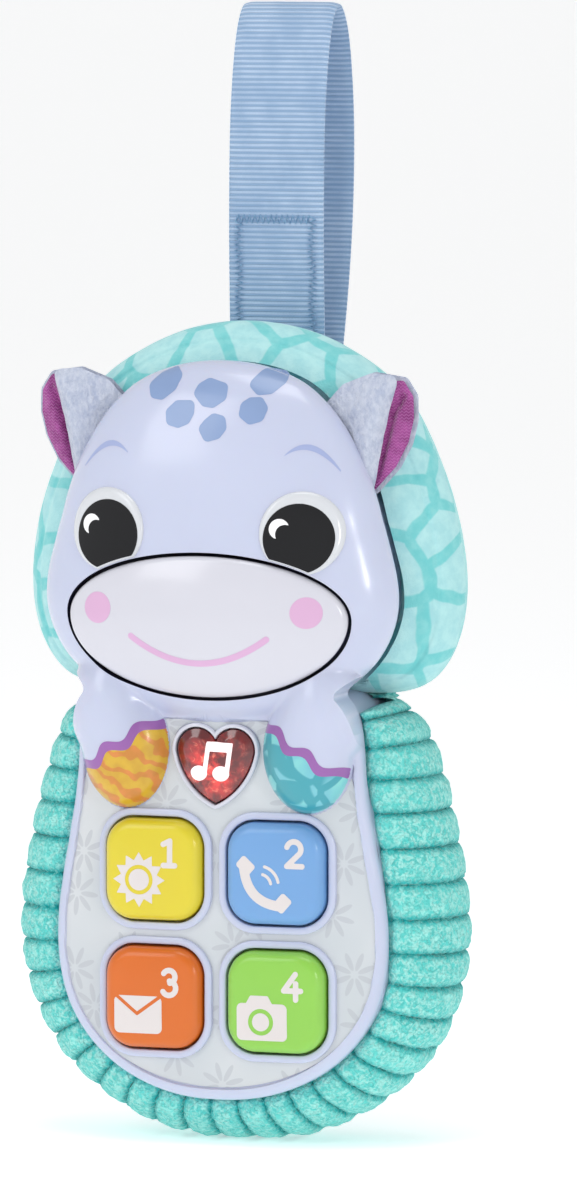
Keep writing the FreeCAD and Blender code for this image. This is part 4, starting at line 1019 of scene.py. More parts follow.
def cuff_band(x, z):
    """Distance across the wavy cuff that crosses the right arm, falling outwards."""
    dx, dz = x - CUFF_X, z - CUFF_Z
    along = dx * math.cos(CUFF_LEAN) + dz * math.sin(CUFF_LEAN)
    across = dz * math.cos(CUFF_LEAN) - dx * math.sin(CUFF_LEAN)
    return across - CUFF_SWING * np.sin(2 * math.pi * (along + 0.6) / CUFF_WAVE)


def make_hands():
    """The printed hands and cuffs that lie on the two arms."""
    arm_outline = grown(egg_field(ARM_WIDE, ARM_TALL, ARM_TALL, ARM_Z), -0.12)
    right_arm = overlap(shifted(arm_outline, ARM_X, 0.0), grown(panel_line, -1.2))

    def on_arm(x, z):
        above_film = crown_face(x, z) + 0.38 - housing_face(x, z)
        return np.maximum(right_arm(x, z), 0.15 - np.minimum(above_film, 1.0))

    def hand(x, z):
        return np.maximum(on_arm(x, z), cuff_band(x, z) + CUFF_HALF)

    def cuff(x, z):
        band = np.abs(cuff_band(x, z)) - CUFF_HALF
        under_head = head_height(x, z) - arm_height(x, z) + 0.8
        return np.maximum.reduce([on_arm(x, z), band, under_head])

    prints = {"left": zebra_print(), "right": cobble_print()}
    for side, name in ((-1, "left"), (1, "right")):
        x_low, x_high = sorted((side * 8.5, side * 30.5))
        hand_field = hand if side > 0 else mirrored(hand)
        cuff_field = cuff if side > 0 else mirrored(cuff)
        area = ((x_low, 65.0), (x_high, 92.0))
        plate("hand_" + name, hand_field, area, housing_face, prints[name], "phone", 0.25, PRINT_LIFT, 0.3,
              "casing")
        plate("cuff_" + name, cuff_field, area, housing_face, cuff_print, "phone", 0.2, 0.07, 0.3, "casing")


HEART_TOP = node_box("heart_button")[0][1]
HEART_BEVEL = 1.7
HEART_FLANGE = 1.2
HEART_BACK = -13.4
FLANGE_DEPTH = 1.2


def heart_face(x, z):
    """A cut gem: a sloped bevel round a gently domed table."""
    inset = np.clip(-heart_line(x, z), 0, HEART_BEVEL)
    table = 0.25 * np.clip(1 - np.hypot(x, z - HEART_LEVEL) / 9.0, 0, 1)
    return HEART_TOP + 0.75 * (1 - inset / HEART_BEVEL) - table


def make_heart():
    """The clear heart button with its light well, and the music note printed on it."""
    levels = [(-HEART_FLANGE, HEART_BACK, False), (-HEART_FLANGE, HEART_BACK - FLANGE_DEPTH, False),
              (0.0, HEART_BACK - FLANGE_DEPTH, False), (0.0, 0.15, True), (0.12, 0.0, True)]
    levels += [(inset, 0.0, True) for inset in (0.5, 1.0, 1.4, HEART_BEVEL, 1.9)]
    points, faces = ring_form(heart_line, 0.0, HEART_LEVEL, levels, heart_face, 240, 16)
    glow = lit_heart()
    heart = make_piece("heart", points, faces, glow, None, sharp=24)
    x, z = polar(0.0, HEART_LEVEL, LIGHT_WELL, full_turn(48))
    well = [np.stack([x, np.full(len(x), y), z], 1)
            for y in (HEART_BACK + 1.4, HEART_TOP + HEART_ROOF)]
    carve(heart, make_piece("heart_light_well", *loft(np.array(well)), glow, None))
    cover(heart.data, glow)
    settle(heart, "heart", "heart_button", "heart")
    x0, z0, lean = -0.6, HEART_LEVEL + 0.9, 0.14

    def slanted(x, z):
        return (x0 + x + lean * z, z0 + z)

    beam = polygon_field([slanted(-1.55, 4.0), slanted(4.0, 3.8), slanted(4.0, 1.9), slanted(-1.55, 2.1)])
    stems = [stroke_field([slanted(x, top), slanted(x, -2.4)], 0.95) for x, top in ((-1.1, 3.5), (3.55, 3.3))]
    heads = [egg_at(slanted(x, -2.3), 1.75, 1.5) for x in (-2.3, 2.35)]
    note = union(beam, *stems, *heads)
    plate("heart_note", note, ((-7, HEART_LEVEL - 6), (7, HEART_LEVEL + 7)), heart_face, lit_note(), "heart",
          0.14, PRINT_LIFT, 0.2, "heart")


def egg_at(place, across, up):
    return shifted(egg_field(across, up, up, 0.0), *place)


def sun_icon():
    """A ring with twelve points."""
    tips = 12
    outline = []
    for k in range(2 * tips):
        radius = 5.5 if k % 2 == 0 else 3.95
        angle = math.pi * k / tips
        outline.append((radius * math.sin(angle), radius * math.cos(angle)))
    ring = overlap(disc_field(0, 0, 2.95), outside(disc_field(0, 0, 2.15)))
    return shifted(overlap(polygon_field(outline), lambda x, z: -ring(x, z)), -3.3, -2.2)


def handset_icon():
    handle = stroke_field(bent((-6.9, 1.2), (-6.2, -6.0), (0.8, -6.5)), 2.0)
    ear = box_field(-6.5, 1.35, 1.75, 1.35, 0.6, -42)
    mouth = box_field(1.2, -5.9, 1.35, 1.75, 0.6, -42)
    waves = [stroke_field(arc_points((-3.4, -2.5), radius, 12, 76), 0.62) for radius in (2.3, 3.9)]
    return union(handle, ear, mouth, *waves)


def envelope_icon():
    paper = box_field(-3.55, -3.6, 5.05, 3.75, 1.15)
    flap = stroke_field([(-8.3, 0.2), (-3.7, -3.4), (0.9, -0.1)], 0.7)
    return overlap(paper, lambda x, z: -flap(x, z))


def camera_icon():
    body = box_field(-3.1, -4.1, 5.3, 3.7, 1.1)
    hump = polygon_field([(-6.1, -0.6), (-5.3, 0.8), (-2.0, 0.8), (-1.2, -0.6)], 0.35)
    ring = overlap(disc_field(-3.3, -4.1, 2.65), outside(disc_field(-3.3, -4.1, 1.8)))
    return overlap(union(body, hump), lambda x, z: -ring(x, z))


def digit_icon(digit):
    """Round-pen numerals about their own centre, 5.6 high."""
    pen = 1.05
    if digit == "1":
        lines = [[(-0.95, 1.65), (0.35, 2.3), (0.35, -2.3)], [(-0.9, -2.3), (1.35, -2.3)]]
    elif digit == "2":
        lines = [arc_points((0.0, 0.95), 1.4, 165, -35) + [(-1.35, -2.25), (1.6, -2.25)]]
    elif digit == "3":
        lines = [arc_points((-0.1, 1.15), 1.2, 150, -80), arc_points((-0.1, -1.0), 1.35, 85, -150)]
    else:
        lines = [[(0.75, 2.35), (-1.5, -0.75), (1.8, -0.75)], [(0.85, 0.6), (0.85, -2.4)]]
    return union(*[stroke_field(line, pen) for line in lines])


ICONS = {"1": sun_icon, "2": handset_icon, "3": envelope_icon, "4": camera_icon}
DIGIT_PLACES = {"1": (3.7, 3.5), "2": (4.5, 4.2), "3": (4.0, 3.2), "4": (4.0, 3.4)}
ICON_SHIFT = (0.85, 0.25)
DIGIT_SCALE = 1.06
KEY_FLANGE = 1.2
KEY_DOME = 0.7
KEY_ROUND = 2.1


def key_face(x0, z0, top):
    """A key's face, a little lower towards its sides and corners."""
    def face(x, z):
        far = np.clip(np.maximum(np.abs(x - x0), np.abs(z - z0)) / KEY_HALF, 0, 1)
        round_off = np.clip(np.hypot(x - x0, z - z0) / (KEY_HALF * 1.25), 0, 1)
        return top + KEY_DOME * (0.5 * far ** 2.5 + 0.5 * round_off ** 2.5)
    return face


def make_keys():
    """Four soft-edged square keys, each with its icon and numeral printed on it."""
    for key, centre in key_centres.items():
        node, body, slot = "number_button_" + key, "button_" + key, key_slot(key)
        low, high = node_box(node)
        x0, z0 = centre[0], centre[2]
        face = key_face(x0, z0, low[1])
        flange_front = high[1] - FLANGE_DEPTH
        levels = [(-KEY_FLANGE, high[1], False), (-KEY_FLANGE, flange_front, False), (0.0, flange_front, False)]
        levels += [(0.06, PARTING - 3.0, False)] + rounded_edge(KEY_ROUND, 10, 0.1)
        points, faces = ring_form(key_line(key), x0, z0, levels, face, 200, 22)
        make_piece("key_" + key, points, faces, key_plastics[key], body, node, slot)
        icon = shifted(ICONS[key](), *ICON_SHIFT)
        numeral = shifted(scaled(digit_icon(key), DIGIT_SCALE), *DIGIT_PLACES[key])
        area = ((x0 - 9.5, z0 - 9.5), (x0 + 9.5, z0 + 9.5))
        for part, field in (("icon", icon), ("numeral", numeral)):
            plate("key_%s_%s" % (key, part), shifted(field, x0, z0), area, face, icon_print, body, 0.13,
                  PRINT_LIFT, 0.15, slot)


def key_slot(key):
    return {"1": "yellow", "2": "blue", "3": "orange", "4": "green"}[key]


# ------------------------------------------------------------------ cloth materials

CLOTH_SHINE = 0.15


def ribbed_plush_cloth():
    """Teal boucle pile: pale tufts on the crests; the gathered seams in the valleys and the lining are painted
    dark teal, the seams' own darker tone with painted shade in the creases.
    """
    finish = Finish("ribbed_plush", tone(92, 196, 190), 0.95, Sheen_Weight=0.55, Sheen_Roughness=0.45,
                    Sheen_Tint=tone(200, 246, 240), Specular_IOR_Level=CLOTH_SHINE)
    # how much painted shade, with the seams' own darker tone, each point takes
    seam = finish.attribute("seam")
    tuft = finish.ramp(finish.noise(1.15, 3.0, 0.65, distortion=0.6), 0.4, 0.62)
    curl = finish.ramp(finish.cells(0.85), 0.25, 0.75)
    cloud = finish.ramp(finish.noise(9.0, 2.0), 0.3, 0.7)
    pile = finish.mix(tuft, tone(92, 208, 202), tone(166, 234, 226))
    pile = finish.mix(finish.times(cloud, 0.35), pile, tone(126, 224, 216))
    # painted shade in the valleys, broken into speckles by shade_wave
    valley = finish.ramp(seam, 0.5, 0.95)
    shade_wave = finish.ramp(finish.noise(0.9, 2.0, 0.6), 0.35, 0.6, 0.5, 1.0)
    finish.colour(finish.mix(finish.times(valley, shade_wave), pile, tone(30, 172, 172)))
    finish.bump(curl, 0.35, 0.8)
    finish.bump(finish.noise(0.5, 3.0, 0.7), 0.25, 0.8)
    return finish.material


PATCH_PITCH = 12.0


def hood_cloth():
    """Short velour printed with pale rounded patches on aqua."""
    finish = Finish("hood_velour", tone(128, 212, 214), 0.9, Sheen_Weight=0.6, Sheen_Roughness=0.4,
                    Sheen_Tint=tone(220, 250, 248), Specular_IOR_Level=CLOTH_SHINE)
    cloth = finish.node("ShaderNodeAttribute", attribute_name="cloth").outputs["Vector"]
    bend = finish.node("ShaderNodeTexNoise")
    finish.feed(bend.inputs["Vector"], cloth)
    bend.inputs["Scale"].default_value = 1 / 8.0
    bend.inputs["Detail"].default_value = 1.0
    bent_cloth = finish.node("ShaderNodeVectorMath", operation="MULTIPLY_ADD")
    finish.feed(bent_cloth.inputs[0], bend.outputs["Color"])
    bent_cloth.inputs[1].default_value = (2.6,) * 3
    finish.feed(bent_cloth.inputs[2], cloth)
    patches = finish.flat_cells(1 / PATCH_PITCH, 0.85, bent_cloth.outputs[0], "DISTANCE_TO_EDGE")
    patch = finish.ramp(patches["Distance"], 0.085, 0.135)
    blot = finish.ramp(finish.noise(2.6, 3.0, 0.6), 0.32, 0.68)
    pale = finish.mix(blot, tone(164, 216, 220), tone(180, 226, 227))
    deep = finish.mix(blot, tone(116, 202, 204), tone(136, 210, 211))
    finish.colour(finish.mix(patch, deep, pale))
    finish.bump(finish.noise(0.45, 3.0, 0.7), 0.16, 0.7)
    finish.bump(finish.noise(3.5, 2.0), 0.25, 0.5)
    return finish.material


def minky_cloth():
    """Lavender-grey short pile with brushed streaks."""
    finish = Finish("ear_minky", tone(190, 198, 220), 0.95, Sheen_Weight=0.7, Sheen_Roughness=0.4,
                    Specular_IOR_Level=CLOTH_SHINE)
    streak = finish.ramp(finish.noise(0.9, 3.0, 0.7, finish.stretched(1.0, 1.0, 0.6)), 0.3, 0.7)
    cloud = finish.ramp(finish.noise(4.0, 2.0), 0.35, 0.65)
    pile = finish.mix(streak, tone(168, 178, 202), tone(200, 206, 222))
    finish.colour(finish.mix(finish.times(cloud, 0.4), pile, tone(206, 212, 226)))
    finish.bump(finish.noise(0.5, 3.0, 0.7), 0.25, 0.8)
    finish.bump(streak, 0.3, 0.5)
    return finish.material


def knit_cloth():
    """Magenta satin knit: fine zigzag rows of stitches, painted lighter on their raised crests and darker
    between them, painted light and shade that follow the bump.
    """
    finish = Finish("ear_knit", tone(160, 56, 140), 0.55, Sheen_Weight=0.5, Sheen_Roughness=0.35)
    x, _, z = finish.parts()
    zig = finish.math("PINGPONG", x, 0.42 * MM)
    row = finish.math("SINE", finish.times(finish.plus(z, zig), 2 * math.pi / (0.62 * MM)))
    # painted light and shade: the raised rows lighter, the hollows between them darker
    stitch_light_and_shade = finish.ramp(row, -0.1, 0.9)
    cloud = finish.ramp(finish.noise(3.5, 2.0), 0.35, 0.65)
    ground = finish.mix(cloud, tone(132, 34, 116), tone(168, 72, 152))
    finish.colour(finish.mix(finish.times(stitch_light_and_shade, 0.42), ground, tone(204, 130, 194)))
    finish.bump(row, 0.12, 0.7)
    return finish.material


def webbing_cloth(name, light, dark, pitch=0.9):
    """Woven tape: weft ribs along it, crossed by fine warp lines."""
    finish = Finish(name, light, 0.75, Sheen_Weight=0.35, Sheen_Roughness=0.5)
    along = finish.attribute("along")
    across = finish.attribute("across")
    weft = finish.math("SINE", finish.times(along, 2 * math.pi / pitch))
    warp = finish.math("SINE", finish.times(across, 2 * math.pi / 0.62))
    basket = finish.times(weft, warp)
    thread = finish.ramp(finish.plus(weft, finish.times(basket, 0.5)), -0.7, 0.7)
    drift = finish.ramp(finish.noise(6.0, 3.0), 0.3, 0.7)
    body = finish.mix(finish.times(drift, 0.4), light, dark)
    finish.colour(finish.mix(finish.times(thread, 0.75), body, dark))
    finish.bump(thread, 0.22, 0.9)
    finish.bump(finish.noise(0.4, 2.0), 0.05, 0.5)
    return finish.material


# ------------------------------------------------------------------ plush body

PLUSH_BOTTOM = node_box("plush_body")[0][2]
PLUSH_RIBS = 43
RIB_STATIONS = 22
RIB_DEPTH = 1.5
RIB_SIZES = (0.86, 1.12)
SECTION_STEPS = 26
AXIS_LOW, AXIS_RISE = 38, 41
PUFF, TUCK = 0.8, 0.9
ROUGH, FINE, GATHER = 0.26, 0.17, 0.28
PLUSH_MIDDLE_Y = -1.5
PLUSH_BACK_Y = 13.7
TUB_BACK = node_box("battery_door")[1][1]
TUB_CLEAR = 0.7
PLUSH_MIDDLE = 46.0
plush_line = polar_field(PLUSH_MIDDLE, [
    (0, 0.0), (8, 0.25), (14.5, 1.2), (22.2, 4.0), (27.6, 7.0), (35.3, 13.0), (40.2, 19.0), (43.4, 25.0),
    (45.3, 31.0), (46.5, 37.0), (46.9, 43.0), (46.5, 49.0), (45.5, 55.0), (44.4, 61.0), (43.0, 67.0),
    (41.3, 73.0), (39.2, 79.0), (36.6, 85.0), (32.5, 88.6), (24.0, 89.4), (12.0, 89.3), (0, 89.4)])


# the opening in the plush that shows the casing's back
back_window = box_field(0, 50.5, 28, 32.5, 10)


def even_outline(field, x0, z0, count):
    """Points spaced evenly along an outline, from its top, clockwise."""
    angle = np.linspace(0, 2 * math.pi, 4001)
    radius = reach(field, x0, z0, angle)
    x, z = polar(x0, z0, radius, angle)
    length = np.concatenate([[0], np.cumsum(np.hypot(np.diff(x), np.diff(z)))])
    at = np.linspace(0, length[-1], count, endpoint=False)
    return np.interp(at, length, x), np.interp(at, length, z), at / length[-1]


def rumple(points, size, seed):
    """Smooth noise, about -1 to 1, at points in millimetres."""
    shift = Vector((seed * 17.3, seed * 5.1, seed * 9.7))
    return np.array([noise.noise(Vector(p) / size + shift) for p in points.tolist()])


def front_rows(panel, silhouette, front):
    """The roll from the panel's edge out to the silhouette."""
    rows, spread = [], []
    for t in np.linspace(0, math.pi / 2, SECTION_STEPS):
        out = math.sin(t) ** 0.85
        puff = PUFF * math.sin(math.pi * min(out / 0.7, 1.0)) if out < 0.7 else 0.0
        tuck = TUCK * max(0.0, 1 - out / 0.1)
        r = panel - 0.2 + (silhouette - panel + 0.2) * out
        y = PLUSH_MIDDLE_Y + (front - PLUSH_MIDDLE_Y) * math.cos(t) - puff + tuck
        rows.append((r, y))
        spread.append(0.5 * out)
    return rows, spread


def rear_rows(window, silhouette):
    """The roll from the silhouette in to the window at the back."""
    rows, spread = [], []
    for t in np.linspace(0, math.pi / 2, SECTION_STEPS)[1:]:
        out = math.cos(t) ** 0.8
        y = PLUSH_MIDDLE_Y + (PLUSH_BACK_Y - PLUSH_MIDDLE_Y) * math.sin(t) ** 0.95
        rows.append((window + (silhouette - window) * out, y))
        spread.append(0.5 + 0.5 * (1 - out))
    return rows, spread


def lining_rows(window, panel, silhouette, front):
    """Inside the window's edge, out along the tub's back and forward up the tub's side."""
    tub = np.minimum(panel - TUB_CLEAR + 0.05, silhouette - 1.9)
    lining = np.maximum(front + 0.9, PARTING + 0.9)
    return [(window - 0.35, PLUSH_BACK_Y - 0.9), (window - 0.1, PLUSH_BACK_Y - 2.4),
            (window + 0.5, TUB_BACK + 0.35), ((window + tub) / 2, TUB_BACK + 0.32),
            (np.maximum(tub, window + 1.0), TUB_BACK + 0.3), (tub, np.maximum(lining, -2.0)), (tub, lining)]


def plush_sections():
    """The plush's cross-section: rows of (distance from the axis, y), from the front edge all the way round.

    Also gives the axis's height and the angle and share of the outline at each station, how many rows are
    outside, and how far round the section each of those is, from 0 to 1.
    """
    stations = PLUSH_RIBS * RIB_STATIONS
    qx, qz, share = even_outline(plush_line, 0.0, PLUSH_MIDDLE, stations)
    foot = AXIS_LOW + AXIS_RISE * smooth_step(qz, 30, 88)
    angle = np.arctan2(qx, qz - foot)
    silhouette = np.hypot(qx, qz - foot)
    panel = np.minimum(reach(panel_line, 0.0, foot, angle), silhouette - 2.5)
    window = reach(back_window, 0.0, foot, angle)
    room = silhouette - panel
    front = PARTING + 0.35 + (TUB_BACK + 0.4 - PARTING) * smooth_step(4.6 - room, 0, 2.2)
    front_half, front_spread = front_rows(panel, silhouette, front)
    rear_half, rear_spread = rear_rows(window, silhouette)
    rows = front_half + rear_half
    outer = len(rows)
    rows += lining_rows(window, panel, silhouette, front)
    return foot, angle, share, rows, outer, front_spread + rear_spread


def outward(r, y):
    """The cross-section's normals, in its own plane."""
    slope_r, slope_y = np.gradient(r, axis=0), np.gradient(y, axis=0)
    length = np.hypot(slope_r, slope_y) + 1e-9
    return slope_y / length, -slope_r / length


def rib_relief(points, rib, from_seam, spread):
    """How far the pile stands out: round ribs of uneven size, gathers at their seams, and rumples."""
    chance = np.random.default_rng(7)
    number = np.floor(rib).astype(int) % PLUSH_RIBS
    size = chance.uniform(*RIB_SIZES, PLUSH_RIBS)[number]
    crest = np.sqrt(np.clip(1 - (1 - from_seam) ** 2.4, 0, 1))
    depth = RIB_DEPTH * size * (0.4 + 0.6 * np.sin(math.pi * np.clip(spread, 0.02, 0.98)) ** 0.7)
    inward = depth * (1 - crest)
    rough = rumple(points.reshape(-1, 3), 2.6, 1).reshape(inward.shape)
    fine = rumple(points.reshape(-1, 3), 1.1, 2).reshape(inward.shape)
    gather = GATHER * np.exp(-(from_seam / 0.35) ** 2) * np.sin(spread * 150 + 3 * rough)
    edge_calm = smooth_step(spread, 0.0, 0.06) * smooth_step(1 - spread, 0.0, 0.06)
    return (ROUGH * rough + FINE * fine + gather) * edge_calm - inward


def make_plush_body():
    """The ribbed plush: a tube-like wrap round the tub, drawn in at each seam and rumpled."""
    foot, angle, share, rows, outer, spread = plush_sections()
    r, y = [np.array([np.broadcast_to(row[k], angle.shape) for row in rows], float) for k in (0, 1)]
    spread = np.array(spread)[:, None]
    rib = share * PLUSH_RIBS
    from_seam = 1 - np.abs(2 * (rib % 1) - 1)
    x, z = polar(0.0, foot, r[:outer], angle)
    bump = rib_relief(np.stack([x, y[:outer], z], -1), rib, from_seam, spread)
    normal_r, normal_y = outward(r[:outer], y[:outer])
    r[:outer] += normal_r * bump
    y[:outer] += normal_y * bump
    x, z = polar(0.0, foot, r, angle)
    points = np.stack([x, y, np.clip(z, PLUSH_BOTTOM, None)], -1)
    rows_count, stations = points.shape[:2]
    faces = grid_faces(rows_count, stations, close_rows=True)
    plush = make_piece("plush", points.reshape(-1, 3), faces, ribbed_plush_cloth(), "phone", "plush_body",
                       "plush", sharp=80)
    # painted shade of the valleys at each seam, full on the lining inside the window where only shade falls
    seam = np.ones((rows_count, stations))
    seam[:outer] = np.clip(1 - from_seam * 1.15, 0, 1) * np.clip(1.25 - 0.25 * np.sin(math.pi * spread), 0, 1)
    keep(plush, "seam", seam.ravel())


# ------------------------------------------------------------------ hood and ears

HOOD_Y = 1.0
HOOD_DEPTH = 16.0
HEAD_TUB_BACK = -5.0
BACK_CLOTH_SHIFT = 200.0
hood_low, hood_high = node_box("hood")
HOOD_MIDDLE = 122.0
HOOD_REACH = 41.0
GROOVE_INSET, GROOVE_DEPTH, GROOVE_WIDTH = 3.6, 0.55, 0.55
POCKET_INSET, POCKET_MARGIN = 0.4, 4.0
hood_line = polar_field(HOOD_MIDDLE, [
    (0, hood_high[2]), (8, 162.3), (16, 160.1), (23.1, 156.6), (28.4, 153.2), (33.6, 148.2), (37.4, 141.6),
    (40.1, 135.5), (43.0, 127.5), (44.7, 120.5), (45.5, 114.5), (45.6, 108.5), (44.7, 102.5), (42.6, 97.0),
    (38.6, 91.6), (33.0, 89.9), (22.0, 89.9), (10.0, 89.8), (0, hood_low[2])])


def hood_ratio(x, z):
    """0 deep inside the hood's outline, 1 on it."""
    return np.clip(1 + hood_line(x, z) / HOOD_REACH, 0, 1)


def hood_front(x, z):
    """The hood's front face: a full crown that gives way to a pocket for the back of the head."""
    ratio = hood_ratio(x, z)
    face = HOOD_Y - HOOD_DEPTH * 0.96 * np.sqrt(np.clip(1 - ratio ** 2.6, 0, 1))
    inset = -hood_line(x, z)
    groove = GROOVE_DEPTH * np.exp(-((inset - GROOVE_INSET) / GROOVE_WIDTH) ** 2)
    face = face + groove
    pocket = head_line(x, z) < -POCKET_INSET
    return np.where(pocket, np.maximum(face, HEAD_TUB_BACK + 0.4), face)


def hood_back(x, z):
    return HOOD_Y + (hood_high[1] - HOOD_Y - 0.4) * np.sqrt(np.clip(1 - hood_ratio(x, z) ** 2.5, 0, 1))


def unroll(layers, angle, shift):
    """Where each point of a round sheet lies when the sheet is laid flat, in millimetres."""
    steps = np.linalg.norm(np.diff(layers, axis=0), axis=2)
    first = np.linalg.norm(layers[:1] - layers[:1].mean(1, keepdims=True), axis=2)
    reach_out = np.vstack([first, steps]).cumsum(0)
    return np.stack([shift + reach_out * np.sin(angle), reach_out * np.cos(angle), 0 * reach_out], -1)


def hood_layers(angle):
    """The hood's rings, from the middle of its front out to its edge and in again behind."""
    edge = reach(hood_line, 0.0, HOOD_MIDDLE, angle)
    pocket = np.minimum(reach(head_line, 0.0, HOOD_MIDDLE, angle, POCKET_INSET), edge - POCKET_MARGIN)
    rings = []
    for part in np.linspace(0.02, 1, 14):
        rings.append((pocket * part - 0.001, hood_front))
    for part in np.linspace(0, 1, 46) ** 0.8:
        rings.append((pocket + 0.02 + (edge - pocket - 0.02) * part, hood_front))
    for part in np.linspace(0, 1, 50)[1:] ** 1.4:
        rings.append((edge * (1 - 0.98 * part), hood_back))
    layers = []
    for radius, face in rings:
        x, z = polar(0.0, HOOD_MIDDLE, radius, angle)
        layers.append(np.stack([x, face(x, z), z], 1))
    layers = np.array(layers)
    flat = layers.reshape(-1, 3)
    soft = rumple(flat, 13.0, 3) * 0.45 + rumple(flat, 5.0, 4) * 0.16
    calm = smooth_step(np.abs(head_line(flat[:, 0], flat[:, 2])), 0.5, 3.0)
    behind = flat[:, 1] > HOOD_Y
    flat[:, 1] += np.where(behind, soft, soft * calm) * 0.8
    front_count = sum(1 for _, face in rings if face is hood_front)
    return flat.reshape(layers.shape), front_count


def make_hood():
    """The padded hood: a crowned pillow with a sewn edge and a hollow for the head."""
    angle = full_turn(300)
    layers, front_count = hood_layers(angle)
    points, faces = loft(layers)
    hood = make_piece("hood_cover", points, faces, hood_cloth(), "phone", "hood", "hood_fabric", sharp=60)
    front = unroll(layers[:front_count], angle, 0.0)
    back = unroll(layers[front_count:][::-1], angle, BACK_CLOTH_SHIFT)[::-1]
    keep(hood, "cloth", np.vstack([front, back]).reshape(-1, 3))


def leaf(name, corners, rounding, centre, front, back, material, slot, node=None, flip=False, rings=22,
         count=120):
    """A soft leaf between a front and a back surface that meet along its rounded edge."""
    field = polygon_field(corners, rounding)
    angle = full_turn(count)
    edge = reach(field, *centre, angle)
    layers = []
    for face, parts in ((front, np.linspace(0.03, 1, rings) ** 0.7), (back, np.linspace(1, 0.03, rings)[1:])):
        for part in parts:
            x, z = polar(*centre, edge * part, angle)
            layers.append(np.stack([x, face(x, z, part) + 0 * x, z], 1))
    layers = np.array(layers)
    pile = rumple(layers.reshape(-1, 3), 2.0, 5) * 0.2 + rumple(layers.reshape(-1, 3), 0.9, 8) * 0.09
    layers[:, :, 1] += pile.reshape(layers.shape[:2])
    if flip:
        layers[:, :, 0] *= -1
    points, faces = loft(layers)
    piece = make_piece(name, points, faces, material, "phone", node, slot, sharp=70)
    return piece


EAR_FLAP = [(22.5, 147.0), (25.5, 150.2), (31.0, 152.3), (34.6, 152.0), (33.3, 147.5), (31.9, 141.6),
            (30.7, 135.5), (30.0, 131.6), (27.5, 134.5), (24.5, 141.0)]
EAR_LINING = [(34.0, 151.2), (36.6, 151.5), (38.2, 149.0), (38.3, 145.0), (37.2, 140.5), (34.8, 136.0),
              (30.5, 131.4), (31.0, 137.0), (32.2, 144.0)]
FLAP_Y, LINING_Y, EAR_BACK_Y = -12.4, -11.6, -10.6
FLAP_LIFTS = (24.0, 33.0)
EAR_VALLEY = [(37.0, 149.3), (35.2, 146.6), (33.8, 141.8), (32.4, 136.6), (31.2, 133.0)]


def make_ears():
    """Each ear is a plush flap folded forward over a knit lining, with a plush back behind it."""
    minky, knit = minky_cloth(), knit_cloth()
    valley = stroke_field(EAR_VALLEY, 0.0)
    flap_edge = polygon_field(EAR_FLAP, 0.5)

    def flap_front(x, z, part):
        out = smooth_step(x, *FLAP_LIFTS)
        return FLAP_Y - (0.5 + 2.3 * out) * (1 - part ** 3) - 0.6 * out

    def flap_back(x, z, part):
        return FLAP_Y + 0.9 * (1 - part ** 2) - 0.6 * smooth_step(x, *FLAP_LIFTS)

    def lining_front(x, z, part):
        rim = 0.9 * np.exp(-(np.clip(flap_edge(x, z), 0, 9) / 0.9) ** 2)
        dip = 1.5 * np.exp(-(valley(x, z) / 0.85) ** 2) * (1 - part ** 4)
        return LINING_Y - 1.0 * (1 - part ** 2.5) + dip - rim * (1 - part ** 3)

    def lining_back(x, z, part):
        return LINING_Y + 0.9 * (1 - part ** 2)

    def back_front(x, z, part):
        return EAR_BACK_Y - 0.5 * (1 - part ** 2)

    def back_back(x, z, part):
        return EAR_BACK_Y + 1.1 * (1 - part ** 3)

    grown_back = EAR_FLAP[:3] + EAR_LINING[1:7] + EAR_FLAP[7:]
    for flip, name in ((True, "left"), (False, "right")):
        leaf("ear_flap_" + name, EAR_FLAP, 1.5, (28.6, 144.0), flap_front, flap_back, minky, "ear_plush",
             "ear_" + name, flip)
        leaf("ear_back_" + name, grown_back, 1.6, (32.0, 144.0), back_front, back_back, minky, "ear_plush",
             None, flip)
        leaf("ear_knit_" + name, EAR_LINING, 0.9, (34.6, 144.0), lining_front, lining_back, knit, "ear_satin",
             "ear_lining_" + name, flip)


# ------------------------------------------------------------------ strap

STRAP_ROUTE = [(17.6, 121.0), (17.9, 135.0), (18.0, 150.0), (17.2, 166.0), (16.9, 185.0), (17.8, 204.5),
               (21.2, 219.6), (26.3, 225.3), (31.6, 219.6), (34.6, 205.5), (34.8, 190.0), (32.8, 174.0),
               (28.6, 157.0), (23.8, 143.0), (21.2, 132.0), (20.6, 121.0)]
STRAP_WIDTH = 20.0
STRAP_THICKNESS = 1.2
PATCH_WIDTH = 17.0
PATCH_THICKNESS = 0.8
TAPE_STEP = 0.25
WEAVE_PITCH = 0.9
WEAVE_GAUGE = 1.24
SEAM_TOP, SEAM_LOW, SEAM_HALF = 182.6, 124.0, 7.8
ZIGZAG_PITCH, ZIGZAG_SWING = 1.15, 0.75


def smooth_route(points, spacing):
    """Evenly spaced points and directions on a smooth curve through a route's points."""
    p = np.array(points, float)
    p = np.vstack([2 * p[0] - p[1], p, 2 * p[-1] - p[-2]])
    fine = []
    for a, b, c, d in zip(p, p[1:], p[2:], p[3:]):
        for t in np.linspace(0, 1, 40, endpoint=False):
            fine.append(0.5 * (2 * b + (c - a) * t + (2 * a - 5 * b + 4 * c - d) * t * t
                               + (3 * b - 3 * c + d - a) * t ** 3))
    fine = np.array(fine + [p[-2]])
    length = np.concatenate([[0], np.cumsum(np.hypot(*np.diff(fine, axis=0).T))])
    at = np.linspace(0, length[-1], int(length[-1] / spacing) + 1)
    place = np.stack([np.interp(at, length, fine[:, k]) for k in (0, 1)], 1)
    heading = np.gradient(place, axis=0)
    heading /= np.linalg.norm(heading, axis=1)[:, None]
    return place, heading, at


